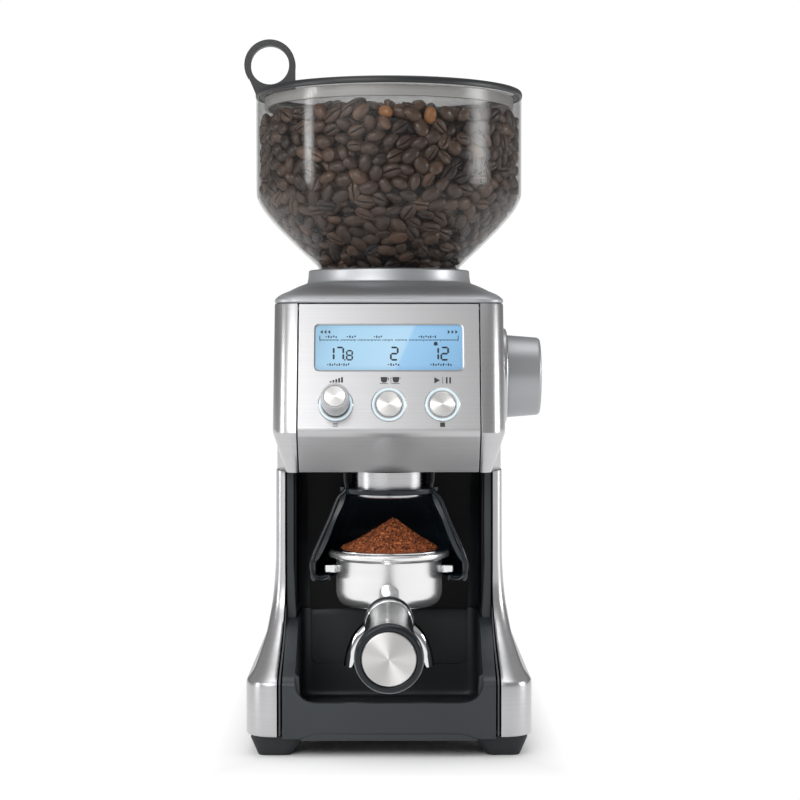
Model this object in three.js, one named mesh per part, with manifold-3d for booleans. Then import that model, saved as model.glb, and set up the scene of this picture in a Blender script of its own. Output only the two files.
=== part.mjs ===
// Burr coffee grinder with hopper, control fascia, grind size dial, portafilter cradle and grinds tray.
// Millimetres, +Z up, the front of the grinder faces -Y, and the feet stand on z = 0.
import * as THREE from "three";
import { mergeVertices } from "three/addons/utils/BufferGeometryUtils.js";
import Module from "manifold-3d";

const wasm = await Module();
wasm.setup();

// Overall body
const GAP = 0.3;
const SKIN = 2;
const HEAD_HALF = 61.4;
const BASE_HALF = 75;
const BACK_Y = 170;
const REAR_RADIUS = 20;
const REAR_SEAM_X = 40;
const SKIN_BOTTOM = 10.4;
const HEAD_FLOOR = 146;
const HEAD_TOP = 236;

// Fascia: top edge, bend and chin, as y and z
const FASCIA_TOP = [-14, HEAD_TOP];
const FASCIA_BEND = [-35, 168];
const FASCIA_CHIN = [-17, HEAD_FLOOR];
const FASCIA_HALF = 48;
const FASCIA_THICK = 2.5;
const BUTTON_X = 28;
const BUTTON_UP = 15.5;
const RING_R = 9;
const DISC_R = 6.9;
const KNOB_OUT = 16.5;
const LCD_HALF = 39.4;
const LCD_LOW = 33.7;
const LCD_HIGH = 59.6;

// Burr axis, gear train and dial
const BURR_Y = 58;
const GEAR_MODULE = 1;
const DRIVE_TEETH = 48;
const IDLER_TEETH = 26;
const MOTOR_TEETH = 12;
const IDLER_Y = BURR_Y + (GEAR_MODULE * (DRIVE_TEETH + IDLER_TEETH)) / 2;
const MOTOR_Y = IDLER_Y + (GEAR_MODULE * (IDLER_TEETH + MOTOR_TEETH)) / 2;
const GEAR_Z = 169;
const GEAR_THICK = 9;
const CROWN_TEETH = 60;
const PINION_TEETH = 12;
const CROWN_MODULE = 1.3;
const CROWN_R = (CROWN_MODULE * CROWN_TEETH) / 2;
const DIAL_Z = 196;
const DIAL_R = 23.3;

// Hopper and lid
const COLLAR_R = 45.6;
const NECK_R = 39.8;
const HOPPER_R = 74.8;
const HOPPER_SEAM = 297;
const HOPPER_TOP = 352.2;
const LID_TOP = 356.4;
const BEAN_TOP = 338;
const FINGER_X = -67.3;
const FINGER_Z = 371.8;
const FINGER_R = 14.4;

// Bay, tray, cradle and portafilter
const BAY_HALF = 51.5;
const BAY_BACK = 48;
const OUTLET_Y = 4;
const RIM_Z = 102.8;
const RIM_R = 32.8;
const BOWL_R = 28.7;
const NECK_DROOP = THREE.MathUtils.degToRad(22.6);
const NECK_START = [-20, 83];
const HANDLE_START = [-24, 71.3];
const HANDLE_LENGTH = 145.6;
const TRAY_HALF = 55.4;
const REAR_FEET_Y = 119;
const TRAY_FRONT_TOP = 28;

const MATERIALS = {
  steel: [0xb9babc, 0.34, 0.9],
  chrome: [0xd8dadd, 0.12, 1],
  black: [0x17181b, 0.45, 0],
  gloss: [0x101114, 0.15, 0],
  dark: [0x3c4246, 0.5, 0],
  silver: [0xa9abad, 0.5, 0.3],
  smoke: [0x4a4c4e, 0.1, 0],
  glass: [0x7fb4d8, 0.1, 0],
  light: [0xe8f4ff, 0.4, 0],
  rubber: [0x26282a, 0.85, 0],
  bean: [0x4a2a16, 0.6, 0],
  coffee: [0x6b3a1c, 0.95, 0],
  iron: [0x77797c, 0.5, 0.8],
  board: [0x1d5a34, 0.6, 0],
  nylon: [0xe6e2d6, 0.55, 0],
};

const root = new THREE.Group();

// One closed solid from a geometry, facing out.
function solid(shape) {
  if (!shape.isBufferGeometry) return shape;
  const loose = shape.index ? shape.toNonIndexed() : shape;
  const bare = new THREE.BufferGeometry().setAttribute("position", loose.getAttribute("position"));
  const merged = mergeVertices(bare, 1e-3);
  const kept = [];
  const index = merged.index.array;
  for (let i = 0; i < index.length; i += 3) {
    const [a, b, c] = [index[i], index[i + 1], index[i + 2]];
    if (a !== b && b !== c && a !== c) kept.push(a, b, c);
  }
  const made = manifold(merged.attributes.position.array, kept);
  if (made.volume() > 0) return made;
  for (let i = 0; i < kept.length; i += 3) [kept[i + 1], kept[i + 2]] = [kept[i + 2], kept[i + 1]];
  return manifold(merged.attributes.position.array, kept);
}

function manifold(vertProperties, triVerts) {
  const data = { numProp: 3, vertProperties, triVerts: new Uint32Array(triVerts) };
  return new wasm.Manifold(new wasm.Mesh(data));
}

function join(first, ...rest) {
  return rest.reduce((sum, one) => sum.add(solid(one)), solid(first));
}

function cut(first, ...rest) {
  return rest.reduce((left, one) => left.subtract(solid(one)), solid(first));
}

function geometryOf(shape) {
  const data = solid(shape).getMesh();
  const geometry = new THREE.BufferGeometry();
  geometry.setAttribute("position", new THREE.BufferAttribute(new Float32Array(data.vertProperties), 3));
  geometry.setIndex(new THREE.BufferAttribute(new Uint32Array(data.triVerts), 1));
  return geometry.toNonIndexed();
}

// Adds one named sub-part.
function piece(name, look, shape) {
  const flat = geometryOf(shape);
  flat.computeVertexNormals();
  const [color, roughness, metalness] = MATERIALS[look];
  const mesh = new THREE.Mesh(flat, new THREE.MeshStandardMaterial({ color, roughness, metalness }));
  mesh.name = name;
  root.add(mesh);
}

function box(x0, x1, y0, y1, z0, z1) {
  const made = new THREE.BoxGeometry(x1 - x0, y1 - y0, z1 - z0);
  return made.translate((x0 + x1) / 2, (y0 + y1) / 2, (z0 + z1) / 2);
}

// A profile of [radius, height] pairs turned about +Z.
function turned(profile, segments = 32) {
  const points = profile.map(([r, z]) => new THREE.Vector2(r, z));
  return new THREE.LatheGeometry(points, segments).rotateX(Math.PI / 2);
}

// A closed ring profile turned about +Z.
function ringed(profile, segments = 32) {
  return turned([...profile, profile[0]], segments);
}

function rod(radius, z0, z1, segments = 20) {
  return turned([[0, z0], [radius, z0], [radius, z1], [0, z1]], segments);
}

// A flat outline raised along +Z.
function raised(points, z0, z1, holes = []) {
  const shape = new THREE.Shape(points.map(([x, y]) => new THREE.Vector2(x, y)));
  shape.holes = holes.map((hole) => new THREE.Path(hole.map(([x, y]) => new THREE.Vector2(x, y))));
  return new THREE.ExtrudeGeometry(shape, { depth: z1 - z0, bevelEnabled: false }).translate(0, 0, z0);
}

// A side outline of [y, z] pairs drawn out along X.
function sideways(points, x0, x1) {
  const turn = new THREE.Matrix4().set(0, 0, 1, 0, 1, 0, 0, 0, 0, 1, 0, 0, 0, 0, 0, 1);
  return raised(points, x0, x1).applyMatrix4(turn);
}

// A front outline of [x, z] pairs drawn out along Y.
function frontal(points, y0, y1) {
  return raised(points, -y1, -y0).rotateX(Math.PI / 2);
}

function circle(radius, count, x = 0, y = 0) {
  return Array.from({ length: count }, (_, i) => {
    const a = (2 * Math.PI * i) / count;
    return [x + radius * Math.cos(a), y + radius * Math.sin(a)];
  });
}

function arc(x, y, radius, from, to, steps) {
  return Array.from({ length: steps + 1 }, (_, i) => {
    const a = THREE.MathUtils.degToRad(from + ((to - from) * i) / steps);
    return [x + radius * Math.cos(a), y + radius * Math.sin(a)];
  });
}

function roundedRect(x0, x1, y0, y1, radius, steps = 4) {
  return [
    ...arc(x1 - radius, y0 + radius, radius, -90, 0, steps),
    ...arc(x1 - radius, y1 - radius, radius, 0, 90, steps),
    ...arc(x0 + radius, y1 - radius, radius, 90, 180, steps),
    ...arc(x0 + radius, y0 + radius, radius, 180, 270, steps),
  ];
}

// A solid through rings of [x, y, z] points; closed joins the last ring to the first.
function loft(rings, closed = false) {
  const count = rings[0].length;
  const vertices = rings.flat(2);
  const faces = [];
  const spans = closed ? rings.length : rings.length - 1;
  for (let k = 0; k < spans; k++) {
    const a = k * count;
    const b = ((k + 1) % rings.length) * count;
    for (let i = 0; i < count; i++) {
      const j = (i + 1) % count;
      faces.push(a + i, a + j, b + j, a + i, b + j, b + i);
    }
  }
  if (!closed) {
    const flat = (ring) => ring.map(([x, y]) => new THREE.Vector2(x, y));
    const last = (rings.length - 1) * count;
    for (const [a, b, c] of THREE.ShapeUtils.triangulateShape(flat(rings[0]), [])) faces.push(a, c, b);
    for (const [a, b, c] of THREE.ShapeUtils.triangulateShape(flat(rings.at(-1)), [])) {
      faces.push(last + a, last + b, last + c);
    }
  }
  const made = new THREE.BufferGeometry();
  made.setAttribute("position", new THREE.BufferAttribute(new Float32Array(vertices), 3));
  made.setIndex(faces);
  return made;
}

function at(shape, x, y, z) {
  return shape.translate(x, y, z);
}

// Turns a shape made about +Z so that its axis lies along +X, +Y or the handle.
function alongX(shape) {
  return shape.rotateY(Math.PI / 2);
}

function alongY(shape) {
  return shape.rotateX(-Math.PI / 2);
}

function alongHandle(shape) {
  return shape.rotateX(Math.PI / 2).translate(0, HANDLE_START[0], HANDLE_START[1]);
}

const SLOPE = Math.atan2(FASCIA_TOP[0] - FASCIA_BEND[0], FASCIA_TOP[1] - FASCIA_BEND[1]);

// Lays a shape on the fascia: X across, Y up the slope from the bend, +Z out of the face.
function onFascia(shape) {
  const [s, c] = [Math.sin(SLOPE), Math.cos(SLOPE)];
  const place = new THREE.Matrix4().set(1, 0, 0, 0, 0, s, -c, FASCIA_BEND[0], 0, c, s, FASCIA_BEND[1], 0, 0, 0, 1);
  return shape.applyMatrix4(place);
}

// Side skin levels: height, half width, half width at the front corner, front y, inner edge x, front wall in y,
// and how far the inside lies above the outside.
const SKIN_LEVELS = [
  [SKIN_BOTTOM, 75, 75, -45, 58.2, 2, 0],
  [36, 75, 75, -45, 58.2, 2, 0],
  [39, 74, 74, -43.6, 58.2, 3, 0],
  [42, 71.6, 71.6, -39, 58.1, 4.6, 0],
  [48, 69.5, 69.5, -28, 57.8, 4, 0],
  [53, 67.9, 67.9, -19, 57.5, 4, 0],
  [58.5, 66.2, 66.2, -11, 57.1, 3.6, 0],
  [66, 64.9, 64.9, -2.5, 56.8, 3, 0],
  [75, 63.5, 63.5, 3, 56.4, 2.4, 0],
  [86, 62.4, 62.4, 5, 56.2, 2, 0],
  [100, 61.6, 61.6, 5, 56.2, 2, 0],
  [145.9, 61.4, 61.4, 5, 56.2, 2, 1.5],
  [146.1, 61.4, 54.7, -17, 48.3, 2.8, 1.5],
  [157, 61.4, 58, -26, 48.3, 2.8, 0.4],
  [167, 61.4, 61.1, -34.2, 48.3, 2.6, 0],
  [169.5, 61.4, 61.4, -34.5, 48.3, 2.2, 0],
  [HEAD_TOP, 61.4, 61.4, -14, 48.3, 2.1, 0],
];

function skinRing([z, half, frontHalf, front, inner, wall, lift]) {
  const radius = Math.min(15, frontHalf - inner - 0.3);
  const inside = Math.max(radius - SKIN, 1);
  const turnY = Math.max(front + radius + 22, 20);
  const outer = [
    [inner, front],
    ...arc(frontHalf - radius, front + radius, radius, -90, 0, 6),
    [half, turnY],
    ...arc(half - REAR_RADIUS, BACK_Y - REAR_RADIUS, REAR_RADIUS, 0, 90, 6),
    [REAR_SEAM_X, BACK_Y],
  ].map(([x, y]) => [x, y, z]);
  const hollow = REAR_RADIUS - SKIN;
  const back = [
    [inner, front + wall],
    ...arc(frontHalf - SKIN - inside, front + wall + inside, inside, -90, 0, 6),
    [half - SKIN, turnY + wall],
    ...arc(half - REAR_RADIUS, BACK_Y - REAR_RADIUS, hollow, 0, 90, 6),
    [REAR_SEAM_X, BACK_Y - SKIN],
  ].map(([x, y]) => [x, y, z + lift]);
  return [...outer, ...back.reverse()];
}

function sideSkin() {
  return solid(loft(SKIN_LEVELS.map(skinRing)));
}

function sideSkins() {
  const right = sideSkin();
  const shaftHole = at(alongX(rod(5, 50, 70)), 0, BURR_Y, DIAL_Z);
  piece("side_skin_right", "steel", cut(right, shaftHole));
  const mirror = SKIN_LEVELS.map((level) => skinRing(level).map(([x, y, z]) => [-x, y, z]).reverse());
  piece("side_skin_left", "steel", loft(mirror));
}

function fascia() {
  const [top, bend, chin] = [FASCIA_TOP, FASCIA_BEND, FASCIA_CHIN];
  const outline = [
    [chin[0], chin[1] + GAP],
    [bend[0] + 0.9, bend[1] - 1.1],
    [bend[0] + 0.4, bend[1] + 1.4],
    [top[0] - 0.1, top[1] - GAP],
    [top[0] - 0.1 + FASCIA_THICK / Math.cos(SLOPE), top[1] - GAP],
    [bend[0] + 2.8, bend[1] + 0.6],
    [chin[0] + 3.2, chin[1] + GAP],
  ];
  const half = FASCIA_HALF - GAP + 0.2;
  const window = onFascia(raised(roundedRect(-LCD_HALF, LCD_HALF, LCD_LOW, LCD_HIGH, 2.5), -8, 8));
  const holes = [-1, 0, 1].map((i) => onFascia(at(rod(RING_R + GAP, -8, 8, 32), i * BUTTON_X, BUTTON_UP, 0)));
  piece("fascia_panel", "steel", cut(sideways(outline, -half, half), window, ...holes));
}

// Points of the body's top outline, and the same directions on a circle about the burr axis.
function topOutline(inset) {
  const x = HEAD_HALF - inset;
  const front = FASCIA_TOP[0] + inset;
  const rear = BACK_Y - inset;
  const side = (from, to, steps) =>
    Array.from({ length: steps }, (_, i) => from.map((v, k) => v + ((to[k] - v) * (i + 1)) / (steps + 1)));
  const [rf, rr] = [12.8, REAR_RADIUS - inset];
  const right = [
    [0, front],
    ...side([0, front], [x - rf, front], 2),
    ...arc(x - rf, front + rf, rf, -90, 0, 4),
    ...side([x, front + rf], [x, rear - rr], 7),
    ...arc(x - rr, rear - rr, rr, 0, 90, 3),
    ...side([x - rr, rear], [0, rear], 1),
    [0, rear],
  ];
  const left = right.slice(1, -1).map(([a, b]) => [-a, b]).reverse();
  return [...right, ...left];
}

function topRing(blend, radius, z, inset = 0) {
  return topOutline(inset).map(([x, y]) => {
    const a = Math.atan2(y - BURR_Y, x);
    const cx = radius * Math.cos(a);
    const cy = BURR_Y + radius * Math.sin(a);
    return [x + (cx - x) * blend, y + (cy - y) * blend, z];
  });
}

function topCover() {
  const rings = [
    topRing(0, 48, HEAD_TOP + GAP),
    topRing(0, 48, 238.4),
    topRing(0.12, 48, 240.9),
    topRing(0.35, 48, 243.6),
    topRing(0.65, 48, 245.9),
    topRing(1, 48, 247.9),
    topRing(1, 46.2, 250),
    topRing(1, COLLAR_R, 255),
    topRing(1, COLLAR_R - 0.8, 255.9),
    topRing(1, 40.6, 255.9),
    topRing(1, 40.6, 240),
    topRing(1, 43.5, 240),
    topRing(1, 44, 244.2),
    topRing(0.6, 45, 242.6),
    topRing(0.32, 45, 240.6, 1),
    topRing(0.1, 45, 238.4, 1.8),
    topRing(0, 45, HEAD_TOP + GAP, 2.4),
  ];
  piece("top_cover", "steel", loft(rings, true));
}

function rearCover() {
  const plate = box(-REAR_SEAM_X + GAP, REAR_SEAM_X - GAP, BACK_Y - SKIN, BACK_Y, SKIN_BOTTOM, HEAD_TOP);
  const slots = [];
  for (let i = 0; i < 7; i++) slots.push(box(-24, 24, BACK_Y - 5, BACK_Y + 5, 150 + 9 * i, 153 + 9 * i));
  const gland = at(alongY(rod(8.8, -8, 8, 24)), 0, BACK_Y, 32);
  piece("rear_cover", "steel", cut(plate, gland, ...slots));
  const profile = [[0, 0], [8.4, 0], [8.4, 9.4], [5.2, 9.8], [5.2, 5], [0, 5]];
  piece("cord_gland", "rubber", at(alongY(turned(profile, 24)), 0, BACK_Y - 10, 32));
}

function base() {
  const outline = roundedRect(-72, 72, -39.6, BACK_Y - 3, 18, 4);
  piece("base_plate", "dark", raised(outline, SKIN_BOTTOM + 0.2, 13));
  const level = (side, front, z, x0, x1, y0, y1, r) => {
    const [low, high] = side > 0 ? [x0, x1] : [-x1, -x0];
    const [near, far] = front ? [y0, y1] : [REAR_FEET_Y - y1, REAR_FEET_Y - y0];
    return roundedRect(low, high, near, far, r, 4).map(([x, y]) => [x, y, z]);
  };
  [["front_left", -1, true], ["front_right", 1, true], ["rear_left", -1, false], ["rear_right", 1, false]].forEach(
    ([where, side, front]) => {
      const rings = [
        level(side, front, 0, 51.6, 67.6, -38, -17.4, 5.4),
        level(side, front, 0.8, 50.6, 68.4, -38.8, -16.8, 6),
        level(side, front, 10, 43.4, 72.6, -41.6, -13, 8),
      ];
      piece("foot_" + where, "rubber", loft(rings));
    },
  );
}

function bayFrame() {
  const half = BAY_HALF + 4;
  const shell = box(-half, half, 5.9, BAY_BACK + 2.4, 13.3, 148.8);
  const hollow = box(-BAY_HALF, BAY_HALF, 0, BAY_BACK, 10, HEAD_FLOOR + GAP);
  const brow = box(-FASCIA_HALF + 0.4, FASCIA_HALF - 0.4, -13.2, 6, HEAD_FLOOR + GAP, 148.8);
  const ramp = box(-BAY_HALF - 1, BAY_HALF + 1, BAY_BACK - 2.4, BAY_BACK + 1, 13.3, 64);
  const port = at(rod(17.7, 140, 155, 32), 0, OUTLET_Y, 0);
  const plunger = at(alongY(rod(4.2, -6, 6, 20)), 0, BAY_BACK, 99.5);
  piece("bay_frame", "dark", cut(join(cut(shell, hollow), brow, ramp), port, plunger));
}

function grindsTray() {
  const outline = [
    [-45, 9],
    [-45, TRAY_FRONT_TOP],
    [-43, TRAY_FRONT_TOP + 1.6],
    [-36, 35],
    [-27, 44],
    [-18, 52.6],
    [-9, 59.6],
    [0, 64.4],
    [8, 66],
    [45.2, 66],
    [45.2, 13.6],
    [-42, 13.6],
    [-42, 9],
  ];
  const wide = sideways(outline, -TRAY_HALF, TRAY_HALF);
  const steps = [-1, 1].map((s) => box(Math.min(s * 50.9, s * 60), Math.max(s * 50.9, s * 60), 4.4, 60, 0, 80));
  const hollow = box(-49, 49, -41.6, 42.6, 16, 80);
  const low = box(-47, 47, 41, 50, 34, 80);
  const front = frontal([[-43.6, TRAY_FRONT_TOP], [43.6, TRAY_FRONT_TOP], [49, 34], [49, 90], [-49, 90], [-49, 34]], -50, -41);
  piece("grinds_tray", "dark", cut(wide, ...steps, hollow, low, front));
}

function controls() {
  const ring = [[DISC_R + 0.2, -2], [RING_R, -2], [RING_R, 0.5], [DISC_R + 0.2, 0.5]];
  const button = [[0, -2.6], [DISC_R - 0.2, -2.6], [DISC_R - 0.2, 1.2], [DISC_R - 0.7, 1.6], [0, 1.3]];
  const knob = [[0, -2.6], [6.4, -2.6], [6.4, 2.2], [7.3, 2.6], [7.6, KNOB_OUT - 1], [6.8, KNOB_OUT], [0, KNOB_OUT]];
  const place = (shape, i) => onFascia(at(shape, i * BUTTON_X, BUTTON_UP, 0));
  ["amount", "shots", "start"].forEach((name, i) => {
    piece("light_ring_" + name, "light", place(ringed(ring, 32), i - 1));
  });
  piece("grind_amount_knob", "black", place(turned(knob, 32), -1));
  piece("shots_button", "steel", place(turned(button, 32), 0));
  piece("start_button", "steel", place(turned(button, 32), 1));
  const lens = roundedRect(-LCD_HALF + GAP, LCD_HALF - GAP, LCD_LOW + GAP, LCD_HIGH - GAP, 2.3);
  piece("lcd_window", "glass", onFascia(raised(lens, -1.8, 0)));
  piece("lcd_module", "dark", onFascia(box(-42, 42, LCD_LOW - 3, LCD_HIGH + 3, -9, -2.9)));
  piece("control_board", "board", onFascia(box(-44, 44, 5, 64, -11.4, -9.6)));
  const lug = box(-20, 20, 8, 24, -9.2, -4.6);
  piece("switch_carrier", "black", onFascia(geometryOf(join(lug, box(-36, 36, 9, 22, -6.6, -4.4)))));
}

// An involute gear outline about the origin; share is the tooth's part of the pitch.
function gearOutline(teeth, module, share, phase = 0) {
  const pitchR = (teeth * module) / 2;
  const baseR = pitchR * Math.cos(THREE.MathUtils.degToRad(20));
  const involute = (r) => {
    const a = Math.acos(Math.min(1, baseR / r));
    return Math.tan(a) - a;
  };
  const radii = [pitchR - 1.15 * module, pitchR + 0.9 * module];
  const half = (r) => (Math.PI * share) / teeth + involute(pitchR) - involute(Math.max(r, baseR));
  const points = [];
  for (let i = 0; i < teeth; i++) {
    const mid = (2 * Math.PI * (i + phase)) / teeth;
    for (const r of radii) points.push([r, mid - half(r)]);
    for (const r of [...radii].reverse()) points.push([r, mid + half(r)]);
  }
  return points.map(([r, a]) => [r * Math.cos(a), r * Math.sin(a)]);
}

function gearTrain() {
  const [z0, z1] = [GEAR_Z, GEAR_Z + GEAR_THICK];
  const drive = raised(gearOutline(DRIVE_TEETH, GEAR_MODULE, 0.44), z0, z1, [circle(4.3, 20)]);
  piece("drive_gear", "nylon", at(drive, 0, BURR_Y, 0));
  const idler = raised(gearOutline(IDLER_TEETH, GEAR_MODULE, 0.44), z0, z1, [circle(2.9, 16)]);
  piece("idler_gear", "nylon", at(idler, 0, IDLER_Y, 0));
  const pinion = raised(gearOutline(MOTOR_TEETH, GEAR_MODULE, 0.44), z0, z1);
  const stem = rod(2.4, 161, z0 + 1, 16);
  piece("motor_pinion", "iron", at(join(pinion, stem), 0, MOTOR_Y, 0));
  const spindle = [[0, 166.6], [4, 166.6], [4, 237], [2.4, 238.4], [0, 238.4]];
  piece("burr_shaft", "iron", at(turned(spindle, 20), 0, BURR_Y, 0));
}

// The outline round the two end circles of the gearbox.
function gearboxOutline(grow) {
  return [...arc(0, BURR_Y, 25.8 + grow, 167, 373, 16), ...arc(0, MOTOR_Y, 13 + grow, 13, 167, 10)];
}

function gearbox() {
  const cup = raised(gearboxOutline(2), 164, 183.7);
  const pocket = raised(gearboxOutline(0), 166.2, 200);
  const bore = at(rod(4.6, 150, 200), 0, MOTOR_Y, 0);
  const pin = at(rod(2.5, 165, 183.7, 16), 0, IDLER_Y, 0);
  piece("gearbox_housing", "dark", join(cut(cup, pocket, bore), pin));
  const lid = cut(raised(gearboxOutline(2), 184, 187), at(rod(4.6, 180, 200), 0, BURR_Y, 0));
  piece("gearbox_cover", "dark", lid);
}

function motor() {
  const can = [[0, 58], [8, 58], [8, 62], [27, 62], [29, 65], [29, 153], [26, 157], [0, 157]];
  piece("motor", "iron", at(turned(can, 32), 0, MOTOR_Y, 0));
  const shelf = box(-44, 44, 55, 160, 160, 163.6);
  const wall = box(-50, 50, 52.8, 56, 13.3, 163.6);
  const bore = at(rod(5.2, 150, 180), 0, MOTOR_Y, 0);
  piece("chassis", "dark", cut(join(shelf, wall), bore));
}

// The fluted cone: one ring of ridges and grooves per level, twisting as it rises.
function coneBurr() {
  const count = 32;
  const levels = [[209.8, 18], [212.5, 18], [217, 14.6], [223, 11.4], [230, 8.4], [234, 6.4]];
  const rings = levels.map(([z, radius], k) =>
    Array.from({ length: count }, (_, i) => {
      const r = radius * (i % 2 ? 0.9 : 1);
      const a = (2 * Math.PI * i) / count + k * 0.12;
      return [r * Math.cos(a), BURR_Y + r * Math.sin(a), z];
    }),
  );
  return cut(loft(rings), at(rod(4.3, 200, 240, 20), 0, BURR_Y, 0));
}

function burrs() {
  piece("cone_burr", "iron", coneBurr());
  const ring = [[28.1, 209.8], [28.1, 229.4], [22.4, 229.4], [18.9, 213], [18.9, 209.8]];
  piece("ring_burr", "iron", at(ringed(ring, 36), 0, BURR_Y, 0));
  const disc = ringed([[4.3, 199.2], [29.6, 199.2], [29.6, 201], [8, 201.4], [8, 209.2], [4.3, 209.2]], 32);
  const vanes = [0, 1, 2, 3].map((i) => box(12, 29.4, -1.2, 1.2, 193, 199.6).rotateZ((i * Math.PI) / 2));
  piece("impeller", "nylon", join(disc, ...vanes).translate([0, BURR_Y, 0]));
  const cup = [[4.6, 189], [33, 189], [33, 208.6], [30.6, 208.6], [30.6, 191.4], [4.6, 191.4]];
  const exit = box(-9, 9, BURR_Y - 40, BURR_Y - 26, 191.6, 199.6);
  piece("grind_chamber", "dark", cut(at(ringed(cup, 36), 0, BURR_Y, 0), exit));
}

function adjuster() {
  const sleeve = [
    [28.5, 209.2], [35.4, 209.2], [35.4, 205.9], [42.2, 205.9], [42.2, 212.4], [33, 212.4], [33, 230], [28.5, 230],
  ];
  const pitch = (2 * Math.PI * CROWN_R) / CROWN_TEETH;
  const [low, wide, narrow] = [DIAL_Z + (CROWN_MODULE * PINION_TEETH) / 2 - 0.9 * CROWN_MODULE, 0.27, 0.09];
  const tooth = [[-wide * pitch, 206.2], [wide * pitch, 206.2], [narrow * pitch, low], [-narrow * pitch, low]];
  const teeth = [];
  for (let i = 0; i < CROWN_TEETH; i++) {
    const blank = sideways(tooth, CROWN_R - 2.4, CROWN_R + 2.4);
    teeth.push(blank.rotateZ((2 * Math.PI * (i + 0.5)) / CROWN_TEETH));
  }
  piece("adjust_ring", "nylon", join(ringed(sleeve, 30), ...teeth).translate([0, BURR_Y, 0]));
  const pinion = raised(gearOutline(PINION_TEETH, CROWN_MODULE, 0.38), 36.4, 41.6);
  const spindle = rod(3, 36.6, 63.4, 20);
  piece("dial_shaft", "nylon", at(alongX(geometryOf(join(pinion, spindle))), 0, BURR_Y, DIAL_Z));
}

function dial() {
  const bezel = [[4.8, 61.8], [28.3, 61.8], [28.3, 65.8], [27.6, 66.5], [24.2, 66.5], [24.2, 63.6], [4.8, 63.6]];
  piece("dial_bezel", "steel", at(alongX(ringed(bezel, 40)), 0, BURR_Y, DIAL_Z));
  const grip = [[0, 64], [DIAL_R, 64], [DIAL_R, 67.5], [21.9, 84.2], [21, 85.4], [0, 86]];
  piece("grind_size_dial", "silver", at(alongX(turned(grip, 40)), 0, BURR_Y, DIAL_Z));
}

function chute() {
  const outer = [[24.7, 201.6], [10, 201.6], [-6, 184], [-6, 150.6], [14, 150.6], [14, 175], [24.7, 189.4]];
  const inner = [[30, 199.6], [10.8, 199.6], [-4, 183.2], [-4, 140], [12, 140], [12, 175.8], [23.8, 191.6], [30, 191.6]];
  piece("chute", "black", cut(sideways(outer, -12, 12), sideways(inner, -10, 10)));
  const spout = [[14.2, 134.4], [17.3, 134.4], [17.3, 150.2], [14.2, 150.2]];
  piece("outlet_spout", "black", at(ringed(spout, 32), 0, OUTLET_Y, 0));
  const sleeve = [[17.7, 132.4], [20.3, 132], [20.9, 132.6], [20.9, 145.8], [17.9, 145.8], [17.7, 145.4]];
  piece("outlet_ring", "steel", at(ringed(sleeve, 40), 0, OUTLET_Y, 0));
}

// A wall open to the front: straight legs joined by a half circle behind the outlet.
function cradleRing([z, radius, leg, wall]) {
  const half = (r) => [
    [r, OUTLET_Y - leg],
    ...arc(0, OUTLET_Y, r, 0, 180, 12),
    [-r, OUTLET_Y - leg],
  ];
  const ring = [...half(radius), ...half(radius - wall).reverse()];
  return ring.map(([x, y]) => [x, y, z]);
}

function cradle() {
  const levels = [
    [87.4, 40, 14, 9], [90.2, 42.1, 15, 10.6], [90.4, 42.1, 15, 2.6], [97.5, 42.1, 15, 2.6],
    [101, 38.9, 14, 2.6], [120, 31.2, 11, 2.6], [134, 25.9, 8, 2.6], [137.4, 26.4, 8, 2.6],
  ];
  const crown = at(ringed([[21.3, 134], [25.8, 134], [25.8, 137.4], [21.3, 137.4]], 32), 0, OUTLET_Y, 0);
  const bracket = box(-13, 13, 37.5, BAY_BACK - GAP, 92, 111);
  const hollow = loft([[91, 39.6], [97.5, 39.6], [101, 36.4], [120, 28.7]].map(([z, r]) => cradleRing([z, r, 30, r - 1])));
  const hole = at(alongY(rod(3.6, 30, 50, 20)), 0, 0, 99.5);
  piece("cradle", "gloss", cut(join(loft(levels.map(cradleRing)), crown, cut(bracket, hollow)), hole));
  const plunger = [[0, 37.2], [2.4, 37.2], [3.1, 38], [3.1, 47], [0, 47]];
  piece("switch_plunger", "black", at(alongY(turned(plunger, 20)), 0, 0, 99.5));
}

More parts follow.
